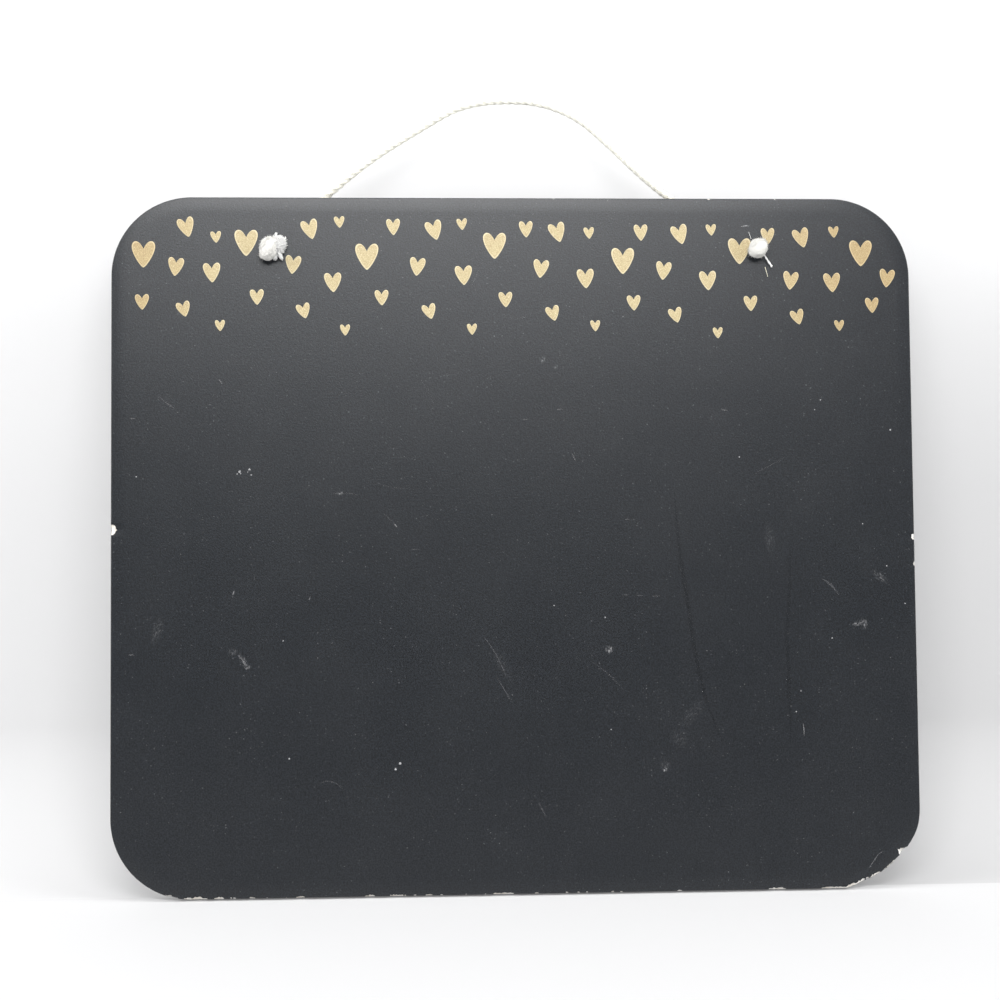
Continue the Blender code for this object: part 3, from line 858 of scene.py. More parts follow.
class TreeWiring(Wiring):
    """Adds Geometry Nodes that more than one tree needs."""

    def ring(self, sides: object, radius: object) -> Socket:
        """Returns a circle."""
        values = {"Resolution": sides, "Radius": radius}
        return self.add("GeometryNodeCurvePrimitiveCircle", values).outputs["Curve"]

    def tube(self, curve: object, profile: object, scale: object) -> Socket:
        """Returns a capped tube along a curve."""
        values = {"Curve": curve, "Profile Curve": profile, "Scale": scale, "Fill Caps": True}
        return self.add("GeometryNodeCurveToMesh", values).outputs[0]

    def even_line(self, mesh: object, step: object) -> Socket:
        """Returns a mesh's lines as curves of even steps.

        Args:
            mesh: The mesh.
            step: The length of a step.

        Returns:
            The curves.
        """
        curve = self.add("GeometryNodeMeshToCurve", {"Mesh": mesh}).outputs[0]
        values = {"Curve": curve, "Length": step}
        return self.add("GeometryNodeResampleCurve", values, mode="LENGTH").outputs[0]

    def moved(self, shape: object, **values: object) -> Socket:
        """Returns a shape with its points at a new Position or moved by an Offset."""
        return self.add("GeometryNodeSetPosition", {"Geometry": shape} | values).outputs[0]

    def mesh_points(self, mesh: object) -> Socket:
        """Returns the points of a mesh as a point cloud."""
        return self.add("GeometryNodeMeshToPoints", {"Mesh": mesh}).outputs[0]

    def smooth(self, shape: object) -> Socket:
        """Returns a shape shaded smooth."""
        return self.add("GeometryNodeSetShadeSmooth", {"Geometry": shape}).outputs[0]

    def together(self, *shapes: object) -> Socket:
        """Returns several shapes as one.

        Args:
            shapes: The shapes.

        Returns:
            The joined shape.
        """
        joined = self.add("GeometryNodeJoinGeometry")
        for shape in shapes:
            self.tree.links.new(shape, joined.inputs[0])
        return joined.outputs[0]

    def planted(self, points: object, instance: object, rotation: object, scale: object) -> Socket:
        """Returns one instance on every point."""
        values = {"Points": points, "Instance": instance, "Rotation": rotation, "Scale": scale}
        return self.add("GeometryNodeInstanceOnPoints", values).outputs[0]

    def at_random(self, seed: object, low: object, high: object) -> Socket:
        """Returns a random number for every point."""
        chance = self.add("FunctionNodeRandomValue", {2: low, 3: high, "Seed": seed}, data_type="FLOAT")
        return chance.outputs[1]

    def aimed(self, heading: object) -> Socket:
        """Returns the rotation that turns +Z to a heading."""
        return self.add("FunctionNodeAlignRotationToVector", {"Vector": heading}, axis="Z").outputs[0]

    def keep(self, shape: object, name: str, value: object, domain: str, **more: object) -> Socket:
        """Returns a shape with a number stored under a name.

        Args:
            shape: The shape.
            name: The attribute's name.
            value: The number.
            domain: What it is stored on.
            more: Further inputs of the node.

        Returns:
            The shape.
        """
        values = {"Geometry": shape, "Name": name, "Value": value} | more
        settings = {"data_type": "FLOAT", "domain": domain}
        return self.add("GeometryNodeStoreNamedAttribute", values, **settings).outputs[0]


class Trees:
    """The Geometry Nodes trees, each built once and used with its own values."""

    def __init__(self) -> None:
        """Builds every tree."""
        self.lay_up = self._lay_up()
        self.laid_rope = self._laid_rope()
        self.fibre = self._fibre()
        self.fuzz = self._fuzz()
        self.brush = self._brush()
        self.hearts = self._hearts()
        self.strokes = self._strokes()

    @staticmethod
    def start(name: str, inputs: dict) -> tuple[TreeWiring, bpy.types.NodeOutputs, bpy.types.NodeInputs]:
        """Starts a tree that puts out one shape."""
        wiring, given, result = node_group(name, "GeometryNodeTree", inputs, "Shape", output=SocketKind.SHAPE)
        return TreeWiring(wiring.tree), given, result

    @staticmethod
    def end(
        wiring: TreeWiring, shape: object, given: bpy.types.NodeOutputs, result: bpy.types.NodeInputs
    ) -> bpy.types.NodeTree:
        """Ends a tree: instances are made real and get the given finish.

        Args:
            wiring: The tree's wiring.
            shape: What the tree has made.
            given: The tree's inputs.
            result: The tree's output.

        Returns:
            The tree.
        """
        real = wiring.add("GeometryNodeRealizeInstances", {"Geometry": shape})
        dressed = {"Geometry": real.outputs[0], "Material": given["Finish"]}
        wiring.feed(result[0], wiring.add("GeometryNodeSetMaterial", dressed).outputs[0])
        return wiring.tree

    def _lay_up(self) -> bpy.types.NodeTree:
        """Copies each curve a few times and winds the copies round it in a helix.

        Returns:
            The tree.
        """
        inputs = {"Curves": SocketKind.SHAPE, "Count": 3, "Lay Radius": 0.001, "Lay Length": 0.01}
        wiring, given, result = self.start("lay_up", inputs | {"Girth": 1.0})
        doubled = {"Geometry": given["Curves"], "Amount": given["Count"]}
        copies = wiring.add("GeometryNodeDuplicateElements", doubled, domain="SPLINE").outputs
        share = wiring.sum("DIVIDE", copies["Duplicate Index"], given["Count"])
        along = wiring.add("GeometryNodeSplineParameter").outputs["Length"]
        turns = wiring.sum("DIVIDE", along, given["Lay Length"])
        angle = wiring.product(wiring.sum("ADD", turns, share), math.tau)
        normal = wiring.add("GeometryNodeInputNormal").outputs["Normal"]
        tangent = wiring.add("GeometryNodeInputTangent").outputs["Tangent"]
        ahead = wiring.scaled(normal, wiring.sum("COSINE", angle))
        aside = wiring.scaled(wiring.vector("CROSS_PRODUCT", tangent, normal), wiring.sum("SINE", angle))
        reach = wiring.product(given["Lay Radius"], given["Girth"])
        offset = wiring.scaled(wiring.vector("ADD", ahead, aside), reach)
        wiring.feed(result[0], wiring.moved(copies["Geometry"], Offset=offset))
        return wiring.tree

    def _laid_rope(self) -> bpy.types.NodeTree:
        """A laid rope along a line: strands wound one way, each of yarns wound the other way.

        Returns:
            The tree.
        """
        inputs = {"Line": SocketKind.SHAPE, "Step": 0.0004, "Strands": 3, "Strand Radius": 0.00066}
        inputs |= {"Rope Lay": 0.009, "Yarns": 4, "Yarn Radius": 0.0003, "Yarn Lay": -0.004}
        inputs |= {"Yarn Girth": 0.0003, "Sides": 7, "Core": 0.0001, "Core Sides": 16}
        wiring, given, result = self.start("laid_rope", inputs | {"Finish": SocketKind.FINISH})
        even = wiring.even_line(given["Line"], given["Step"])
        girth = wiring.stored("girth")
        curves = even
        windings = (("Strands", "Strand Radius", "Rope Lay"), ("Yarns", "Yarn Radius", "Yarn Lay"))
        for count, radius, lay in windings:
            wound = {"Curves": curves, "Count": given[count], "Lay Radius": given[radius]}
            wound |= {"Lay Length": given[lay], "Girth": girth}
            curves = wiring.add("GeometryNodeGroup", wound, node_tree=self.lay_up).outputs[0]
        tubes = wiring.tube(curves, wiring.ring(given["Sides"], given["Yarn Girth"]), girth)
        core = wiring.tube(even, wiring.ring(given["Core Sides"], given["Core"]), girth)
        return self.end(wiring, wiring.smooth(wiring.together(core, tubes)), given, result)

    def _fibre(self) -> bpy.types.NodeTree:
        """One bent fibre of unit length and unit half width, along +Z, that thins towards its end.

        Returns:
            The tree.
        """
        inputs = {"Bend": 6.0, "Pieces": 5, "Sides": 4, "Tip": 0.35}
        wiring, given, result = self.start("fibre", inputs)
        straight = {"Start": (0.0, 0.0, 0.0), "End": (0.0, 0.0, 1.0)}
        line = wiring.add("GeometryNodeCurvePrimitiveLine", straight, mode="POINTS").outputs[0]
        even = {"Curve": line, "Count": wiring.sum("ADD", given["Pieces"], 1.0)}
        even = wiring.add("GeometryNodeResampleCurve", even, mode="COUNT").outputs[0]
        far = wiring.add("GeometryNodeSplineParameter").outputs["Factor"]
        thinning = wiring.product(far, wiring.sum("SUBTRACT", 1.0, given["Tip"]))
        tube = wiring.tube(even, wiring.ring(given["Sides"], 1.0), wiring.sum("SUBTRACT", 1.0, thinning))
        along = wiring.parts(wiring.add("GeometryNodeInputPosition").outputs[0])["Z"]
        bow = wiring.product(along, wiring.sum("SUBTRACT", 1.0, along), 4.0, given["Bend"])
        wiring.feed(result[0], wiring.moved(tube, Offset=wiring.joined(X=bow)))
        return wiring.tree

    def hair(self, wiring: TreeWiring, pieces: int, sides: int, **values: object) -> Socket:
        """Returns one fibre for a tree to plant."""
        values |= {"Pieces": pieces, "Sides": sides}
        return wiring.add("GeometryNodeGroup", values, node_tree=self.fibre).outputs[0]

    def _fuzz(self) -> bpy.types.NodeTree:
        """Short stray fibres that stand up from a surface and lean at random.

        Returns:
            The tree.
        """
        inputs = {"Surface": SocketKind.SHAPE, "Density": 5e5, "Seed": 1, "Half Width": 2e-5}
        inputs |= {"Shortest": 0.0004, "Longest": 0.0012, "Lean": 1.0, "Bend": 8.0}
        wiring, given, result = self.start("fuzz", inputs | {"Finish": SocketKind.FINISH})
        seeded = {"Mesh": given["Surface"], "Density": given["Density"], "Seed": given["Seed"]}
        points = wiring.add("GeometryNodeDistributePointsOnFaces", seeded).outputs
        ends = {0: (-1.0, -1.0, -1.0), 1: (1.0, 1.0, 1.0), "Seed": given["Seed"]}
        lean = wiring.add("FunctionNodeRandomValue", ends, data_type="FLOAT_VECTOR").outputs[0]
        heading = wiring.vector("ADD", points["Normal"], wiring.scaled(lean, given["Lean"]))
        length = wiring.at_random(wiring.sum("ADD", given["Seed"], 7.0), given["Shortest"], given["Longest"])
        size = wiring.joined(X=given["Half Width"], Y=given["Half Width"], Z=length)
        hair = self.hair(wiring, 2, 3, Bend=given["Bend"])
        hairs = wiring.planted(points["Points"], hair, wiring.aimed(heading), size)
        return self.end(wiring, hairs, given, result)

    def _brush(self) -> bpy.types.NodeTree:
        """Fibres that start at given points and leave along each point's own heading.

        Returns:
            The tree.
        """
        inputs = {"Roots": SocketKind.SHAPE, "Half Width": 6e-5, "Bend": 5.0, "Tip": 0.5, "Seed": 1}
        wiring, given, result = self.start("brush", inputs | {"Finish": SocketKind.FINISH})
        aimed = wiring.aimed(wiring.stored("heading", "FLOAT_VECTOR"))
        spin = {"Axis": (0.0, 0.0, 1.0), "Angle": wiring.at_random(given["Seed"], 0.0, math.tau)}
        spin = wiring.add("FunctionNodeAxisAngleToRotation", spin).outputs[0]
        spun = {"Rotation": aimed, "Rotate By": spin}
        turned = wiring.add("FunctionNodeRotateRotation", spun, rotation_space="LOCAL").outputs[0]
        size = wiring.joined(X=given["Half Width"], Y=given["Half Width"], Z=wiring.stored("reach"))
        hair = self.hair(wiring, 6, 5, Bend=given["Bend"], Tip=given["Tip"])
        hairs = wiring.planted(wiring.mesh_points(given["Roots"]), hair, turned, size)
        return self.end(wiring, wiring.smooth(hairs), given, result)

    def _hearts(self) -> bpy.types.NodeTree:
        """A printed heart on every given point: a thin plate of ink with a sloping rim.

        Returns:
            The tree.
        """
        inputs = {"Places": SocketKind.SHAPE, "Relief": 0.00008, "Rim": 0.9, "Curve Steps": 10}
        wiring, given, result = self.start("hearts", inputs | {"Finish": SocketKind.FINISH})
        arcs = []
        for arc in HEART_ARCS:
            for side in (1, -1):
                corners = [(side * x / 2, y - 0.5, 0.0) for x, y in arc]
                values = dict(zip(("Start", "Start Handle", "End Handle", "End"), corners))
                values |= {"Resolution": given["Curve Steps"]}
                segment = wiring.add("GeometryNodeCurvePrimitiveBezierSegment", values, mode="POSITION")
                arcs.append(segment.outputs[0])
        lines = wiring.add("GeometryNodeCurveToMesh", {"Curve": wiring.together(*arcs)}).outputs[0]
        closed = wiring.add("GeometryNodeMergeByDistance", {"Geometry": lines, "Distance": 1e-4}).outputs[0]
        outline = wiring.add("GeometryNodeMeshToCurve", {"Mesh": closed}).outputs[0]
        flat = wiring.add("GeometryNodeFillCurve", {"Curve": outline}, mode="NGONS").outputs[0]
        raised = {"Mesh": flat, "Offset": (0.0, 0.0, 1.0), "Individual": False}
        wall = wiring.add("GeometryNodeExtrudeMesh", raised).outputs
        slope = {"Geometry": wall["Mesh"], "Selection": wall["Top"], "Scale": given["Rim"]}
        shaped = wiring.add("GeometryNodeScaleElements", slope).outputs[0]
        marked = wiring.keep(shaped, "rim", 1.0, "FACE", Selection=wall["Side"])
        size = wiring.stored("size", "FLOAT_VECTOR")
        scale = wiring.vector("MULTIPLY", size, wiring.joined(X=1.0, Y=1.0, Z=given["Relief"]))
        turn = wiring.stored("turn", "FLOAT_VECTOR")
        facing = wiring.add("FunctionNodeEulerToRotation", {0: turn}).outputs[0]
        hearts = wiring.planted(wiring.mesh_points(given["Places"]), marked, facing, scale)
        return self.end(wiring, hearts, given, result)

    def _strokes(self) -> bpy.types.NodeTree:
        """Chalk strokes: soft-edged ribbons along lines, flattened onto the face.

        Returns:
            The tree.
        """
        inputs = {"Lines": SocketKind.SHAPE, "Face": FACE_PLANE, "Flatness": 0.05, "Step": 0.0006}
        inputs |= {"Wander": 0.0001, "Finish": SocketKind.FINISH}
        wiring, given, result = self.start("strokes", inputs)
        rough = wiring.add("ShaderNodeTexNoise", {"Scale": 700.0, "Detail": 2.0}).outputs["Color"]
        wander = wiring.scaled(wiring.vector("SUBTRACT", rough, (0.5, 0.5, 0.5)), given["Wander"])
        bent = wiring.moved(wiring.even_line(given["Lines"], given["Step"]), Offset=wander)
        width = wiring.stored("width")
        far = wiring.add("GeometryNodeSplineParameter").outputs["Factor"]
        bow = wiring.sum("POWER", wiring.sum("SINE", wiring.product(far, math.pi)), 0.35)
        eased = wiring.product(width, wiring.sum("MULTIPLY_ADD", bow, 0.85, 0.15))
        tube = wiring.tube(wiring.keep(bent, "width", eased, "POINT"), wiring.ring(8, 1.0), eased)
        parts = wiring.parts(wiring.add("GeometryNodeInputPosition").outputs[0])
        out_by = wiring.sum("SUBTRACT", parts["Y"], given["Face"])
        inward = wiring.sum("POWER", wiring.sum("ABSOLUTE", wiring.sum("DIVIDE", out_by, width)), 0.6)
        soft = wiring.keep(tube, "strength", wiring.product(wiring.stored("strength"), inward), "POINT")
        depth = wiring.sum("MULTIPLY_ADD", out_by, given["Flatness"], given["Face"])
        flat = wiring.moved(soft, Position=wiring.joined(X=parts["X"], Y=depth, Z=parts["Z"]))
        return self.end(wiring, flat, given, result)


@dataclass(frozen=True)
class Chip:
    """A place on the outline where the paint has broken away, in millimetres."""

    x: float
    z: float
    length: float
    depth: float
    torn: float = 0.9


SIDE_CHIPS = (
    Chip(-151.2, 5.9, 4.1, 2.0, torn=0.3),
    Chip(151.2, 1.2, 2.6, 1.3),
    Chip(151.5, -9.0, 1.5, 0.5),
)
# Chips along the top and the bottom edge, in millimetres: where each is across, its length and its depth
TOP_CHIPS = ((-27.5, 1.2, 0.25), (8.9, 1.0, 0.22), (15.0, 1.0, 0.22), (74.4, 1.2, 0.3), (99.9, 1.2, 0.25))
FOOT_CHIPS = (
    (-120.2, 8.6, 0.9), (-111.8, 4.0, 0.8), (-107.0, 1.4, 0.5), (-100.0, 1.6, 0.45), (-93.8, 1.3, 0.4),
    (-81.6, 3.2, 0.5), (-56.0, 3.8, 0.5), (-45.6, 6.6, 0.6), (-34.1, 2.8, 0.5), (-29.5, 1.3, 0.4),
    (-6.5, 7.8, 0.65), (6.1, 1.4, 0.4), (17.1, 1.2, 0.4), (21.6, 1.0, 0.35), (24.9, 1.2, 0.4),
    (37.7, 1.4, 0.4), (59.5, 1.6, 0.45), (96.5, 7.0, 0.6), (118.4, 10.8, 0.6),
)
CORNER_CHIPS = (
    Chip(124.9, -130.8, 4.6, 1.2),
    Chip(129.6, -129.9, 6.0, 0.9),
    Chip(134.6, -128.0, 5.0, 0.8),
    Chip(140.6, -124.1, 7.0, 0.35),
    Chip(145.6, -118.6, 3.2, 1.5),
)
CHIPS = (
    *SIDE_CHIPS,
    *(Chip(x, 131.0, length, depth) for x, length, depth in TOP_CHIPS),
    *(Chip(x, -131.0, length, depth) for x, length, depth in FOOT_CHIPS),
    *CORNER_CHIPS,
)


@dataclass(frozen=True)
class Crush:
    """A stretch of the outline that is worn away through the whole thickness, in millimetres."""

    start: Span
    end: Span
    depth: float
    ease_in: float = 0.30
    ease_out: float = 0.07


CRUSHES = (
    Crush((122.0, -131.0), (146.6, -114.6), 1.75),
    Crush((139.0, -124.0), (151.2, -107.0), 1.0, 0.45, 0.55),
    Crush((-130.4, -129.4), (-126.4, -130.6), 0.35),
)


class Tear(Enum):
    """The noises that tear the outline: the layer and the scale of each."""

    CHIP = (0.0, 1300)
    FINE_CHIP = (1.0, 4200)
    FOOT = (2.0, 420)
    CRUSH = (5.0, 900)
    FINE_CRUSH = (6.0, 2600)

    def at(self, place: Point) -> float:
        """The noise at a place on the outline."""
        layer, scale = self.value
        return noise(Vector((*place, layer)) * scale)


@dataclass
class Outline:
    """The board's outline as many even stations, with how far each is chipped away."""

    spacing: float = 0.00055
    least_share: float = 0.12
    tear: float = 0.31
    fine_tear: float = 0.39
    foot_reach: float = 0.006
    foot_wear: float = 0.0011
    foot_threshold: float = 0.33
    crush_tears: Span = (0.16, 0.10)
    points: np.ndarray = field(init=False)
    outward: np.ndarray = field(init=False)
    chipped: np.ndarray = field(init=False)
    crushed: np.ndarray = field(init=False)

    def __post_init__(self) -> None:
        """Works out every station."""
        tall, wide = BOARD_HEIGHT - 2 * CORNER_RADIUS, BOARD_WIDTH - 2 * CORNER_RADIUS
        turns = max(2, round(CORNER_RADIUS * math.pi / 2 / self.spacing))
        points, outward = [], []
        across, up = BOARD_WIDTH / 2 - CORNER_RADIUS, BOARD_HEIGHT / 2 - CORNER_RADIUS
        sides = ((1, -1, -90, tall), (1, 1, 0, wide), (-1, 1, 90, tall), (-1, -1, 180, wide))
        for side, end, start, run in sides:
            middle = np.array((side * across, end * up))
            for step in range(turns):
                angle = math.radians(start + 90 * step / turns)
                normal = np.array((math.cos(angle), math.sin(angle)))
                points.append(middle + CORNER_RADIUS * normal)
                outward.append(normal)
            angle = math.radians(start + 90)
            normal = np.array((math.cos(angle), math.sin(angle)))
            along = np.array((-normal[1], normal[0]))
            steps = round(run / self.spacing)
            for step in range(steps):
                points.append(middle + CORNER_RADIUS * normal + along * run * step / steps)
                outward.append(normal)
        self.points, self.outward = np.array(points), np.array(outward)
        self.chipped = self._chips()
        self.crushed = self._crushes()

    def _chips(self) -> np.ndarray:
        """How far the coat is broken back at every station, in metres.

        Returns:
            The depth at each station.
        """
        depth = np.zeros(len(self.points))
        ragged = np.full(len(self.points), Chip.torn)
        for chip in CHIPS:
            away = np.linalg.norm(self.points / MILLIMETRE - (chip.x, chip.z), axis=1)
            inside = np.clip(1 - (away / (chip.length / 2)) ** 2, 0, 1)
            depth = np.maximum(depth, chip.depth * MILLIMETRE * np.sqrt(inside))
            ragged[inside > 0] = chip.torn
        for index, place in enumerate(self.points):
            torn = Tear.CHIP.at(place) + self.fine_tear * Tear.FINE_CHIP.at(place)
            depth[index] *= max(self.least_share, 1 - self.tear * ragged[index] + ragged[index] * torn)
            worn = Tear.FOOT.at(place) - self.foot_threshold
            if place[1] < -BOARD_HEIGHT / 2 + self.foot_reach and worn > 0:
                depth[index] = max(depth[index], worn * self.foot_wear)
        return depth

    def _nearest(self, place: Span) -> int:
        """The station nearest to a place, in millimetres."""
        return int(np.argmin(np.linalg.norm(self.points / MILLIMETRE - place, axis=1)))

    def _crushes(self) -> np.ndarray:
        """How far the whole edge is worn away at every station, in metres.

        Returns:
            The depth at each station.
        """
        worn = np.zeros(len(self.points))
        broad, fine = self.crush_tears
        for crush in CRUSHES:
            first = self._nearest(crush.start)
            run = (self._nearest(crush.end) - first) % len(self.points)
            for step in range(run + 1):
                share = step / run
                eased = min(1.0, share / crush.ease_in, (1 - share) / crush.ease_out)
                index = (first + step) % len(self.points)
                place = self.points[index]
                torn = 1 + broad * Tear.CRUSH.at(place) + fine * Tear.FINE_CRUSH.at(place)
                deep = crush.depth * MILLIMETRE * eased * eased * (3 - 2 * eased) * torn
                worn[index] = max(worn[index], deep)
        return worn

    def ring(self, inset: float | np.ndarray, depth: float | np.ndarray) -> np.ndarray:
        """The stations at a depth, moved inwards square to the outline, and by what is worn away.

        Args:
            inset: How far inwards, for all stations or each.
            depth: The depth, for all stations or each.

        Returns:
            The ring's points.
        """
        inset = np.broadcast_to(inset, (len(self.points),)) + self.crushed
        flat = self.points - self.outward * inset[:, None]
        return np.stack([flat[:, 0], np.broadcast_to(depth, (len(flat),)), flat[:, 1]], axis=1)


# Where the bare part of a hole's wall starts and ends, as shares of the thickness
HOLE_WALL_SHARES = (0.12, 0.88)


def bridge(bm: bmesh.types.BMesh, near: list, far: list, outer: bool) -> None:
    """Joins two rings of equal count by faces, which look outwards or, in a hole, inwards.

    Args:
        bm: The bmesh.
        near: One ring's vertices.
        far: The next ring's.
        outer: Whether the faces look outwards.
    """
    for step, corner in enumerate(near):
        following = (step + 1) % len(near)
        quad = (corner, far[step], far[following], near[following])
        bm.faces.new(quad if outer else (corner, *quad[:0:-1]))


def cap(bm: bmesh.types.BMesh, loop: list, holes: list[np.ndarray]) -> list[list]:
    """Closes a ring with a flat face that has holes in it, and returns the rims of the holes.

    Args:
        bm: The bmesh.
        loop: The ring's vertices.
        holes: Rings of points (x, z) for the holes.

    Returns:
        The vertices of each hole's rim.
    """
    rims = [[bm.verts.new((x, loop[0].co.y, z)) for x, z in hole] for hole in holes]
    border = [loop, *rims]
    edges, first = [], 0
    for ring in border:
        edges += [(first + step, first + (step + 1) % len(ring)) for step in range(len(ring))]
        first += len(ring)
    verts = [vert for ring in border for vert in ring]
    flat = [Vector((vert.co.x, vert.co.z)) for vert in verts]
    _, _, faces, sources, _, _ = delaunay_2d_cdt(flat, edges, [], 2, 1e-7)
    for face in faces:
        corners = [verts[sources[index][0]] for index in face]
        if len(set(corners)) == 3 and not any(all(corner in rim for corner in corners) for rim in rims):
            bm.faces.new(corners)
    return rims


def capped_rings(
    name: str, rings: list[np.ndarray], holes: list[np.ndarray], bare: list[np.ndarray] | None = None
) -> Mesh:
    """Joins rings of equal count into a closed solid, capped at both ends, with holes right through it.

    Args:
        name: The mesh's name.
        rings: Each ring's points, from the front cap to the back cap, anticlockwise as seen from the front.
        holes: Rings of points (x, z) for the holes.
        bare: For each ring, how bare of paint each point is.

    Returns:
        The mesh.
    """
    bm = bmesh.new()
    marks = bm.verts.layers.float.new("bare")
    loops = [[bm.verts.new(point) for point in ring] for ring in rings]
    for loop, values in zip(loops, bare or ()):
        for vert, value in zip(loop, values):
            vert[marks] = float(value)
    for near, far in zip(loops, loops[1:]):
        bridge(bm, near, far, outer=True)
    for first_rim, last_rim in zip(cap(bm, loops[0], holes), cap(bm, loops[-1], holes)):
        walls = [first_rim]
        for share in HOLE_WALL_SHARES:
            pairs = zip(first_rim, last_rim)
            walls.append([bm.verts.new(start.co.lerp(end.co, share)) for start, end in pairs])
            for vert in walls[-1]:
                vert[marks] = 1.0
        walls.append(last_rim)
        for near, far in zip(walls, walls[1:]):
            bridge(bm, near, far, outer=False)
    bmesh.ops.recalc_face_normals(bm, faces=bm.faces)
    mesh = mesh_of(name, bm)
    mesh.set_sharp_from_angle(angle=SHARP_ANGLE)
    return mesh


@dataclass
class Board:
    """The fibreboard panel and its coat of black chalkboard paint, chipped along the arrises."""

    outline: Outline
    face_back: float = -0.00268
    panel_front: float = -0.00270
    coat_inset: float = 0.00028
    coat_arris: float = 0.00026
    coat_draft: float = 0.00002
    arris_steps: int = 4
    least_notch: float = 0.00008
    panel_inset: float = 0.00075
    panel_arris: float = 0.00070
    front_steps: int = 5
    panel_border: float = 0.0042
    border_wear: Span = (1.15, 0.20)
    arris_wear: float = 0.85
    arris_wear_step: float = 0.13
    arris_sunk: float = 0.10
    bare_share: float = 1.15
    bare_step: float = 0.18
    back_arris: float = 0.00060
    side_depth: float = 0.0004
    cap_inset: float = 0.006
    front_cap_inset: float = 0.007
    bare_from: float = 0.00022
    bare_through: float = 0.0010
    hole_radius: float = 0.00225
    hole_sides: int = 48
    coat_clearance: float = 0.0001

    def holes(self, spare: float = 0.0) -> list[np.ndarray]:
        """The rings of both cord holes, widened by spare.

        Args:
            spare: How much wider than the drilled hole, in radius.

        Returns:
            Each hole's ring of points (x, z).
        """
        turn = np.linspace(0, math.tau, self.hole_sides, endpoint=False)
        ring = (self.hole_radius + spare) * np.stack([np.cos(turn), np.sin(turn)], axis=1)
        return [ring + (side.value * HOLE_ACROSS, HOLE_HEIGHT) for side in Side]

    def writing_face(self) -> Mesh:
        """The coat: a thin plate with a soft front arris and torn notches where it is chipped.

        Returns:
            The mesh.
        """
        chip = np.where(self.outline.chipped > self.least_notch, self.outline.chipped, 0.0)
        rings = [self.outline.ring(self.cap_inset, FACE_PLANE)]
        for step in range(self.arris_steps + 1):
            angle = math.pi / 2 * step / self.arris_steps
            inset = self.coat_inset + chip + self.coat_arris * (1 - math.sin(angle))
            rings.append(self.outline.ring(inset, FACE_PLANE + self.coat_arris * (1 - math.cos(angle))))
        rings.append(self.outline.ring(self.coat_inset + chip + self.coat_draft, self.face_back))
        rings.append(self.outline.ring(self.cap_inset, self.face_back))
        return capped_rings("writing_face", rings, self.holes(self.coat_clearance))

    def panel(self) -> Mesh:
        """The core: rounded arrises, crushed and bare where chipped, painted sides and a plain back.

        Returns:
            The mesh.
        """
        chip, front = self.outline.chipped, self.panel_front
        here = np.clip(chip / self.bare_from, 0, 1)
        broken_through = np.clip(chip / self.bare_through, 0, 1)
        clean = np.zeros_like(here)
        rows = [(self.front_cap_inset, front, clean), (self.panel_border, front, clean)]
        inwards, sunk = self.border_wear
        rows.append((self.panel_inset + chip * inwards, front + sunk * chip, np.clip(here * 2, 0, 1)))
        for step in range(1, self.front_steps + 1):
            angle = math.pi / 2 * step / self.front_steps
            worn = self.arris_wear - self.arris_wear_step * step
            inset = self.panel_arris * (1 - math.sin(angle)) + chip * worn
            depth = front + self.panel_arris * (1 - math.cos(angle)) + self.arris_sunk * chip
            share = self.bare_share - self.bare_step * step
            rows.append((inset, depth, np.maximum(here * share, broken_through)))
        rows.append((0.0, -self.back_arris - self.side_depth, clean))
        for step in range(self.arris_steps + 1):
            angle = math.pi / 2 * step / self.arris_steps
            back = self.back_arris
            rows.append((back * (1 - math.cos(angle)), -back * (1 - math.sin(angle)), clean))
        rows.append((self.cap_inset, 0.0, clean))
        rings = [self.outline.ring(inset, depth) for inset, depth, _ in rows]
        return capped_rings("board_panel", rings, self.holes(), [bare for *_, bare in rows])

    def build(self, coat: Material, paint: Material) -> None:
        """Builds and dresses both pieces.

        Args:
            coat: The finish of the writing face.
            paint: The finish of the panel.
        """
        panel = piece("board_panel", self.panel(), paint)
        coated = piece("writing_face", self.writing_face(), coat)
        settle(Slot.PANEL, panel)
        settle(Slot.FACE, coated)
        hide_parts("board_core")
        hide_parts("chalk_face")


@dataclass(frozen=True)
class Motif:
    """One heart of the repeat, in millimetres and degrees, with how far some of its copies are nudged."""

    width: float
    height: float
    tilt: float
    from_left: float
    drop: float
    nudges: dict
    left_out: tuple = ()


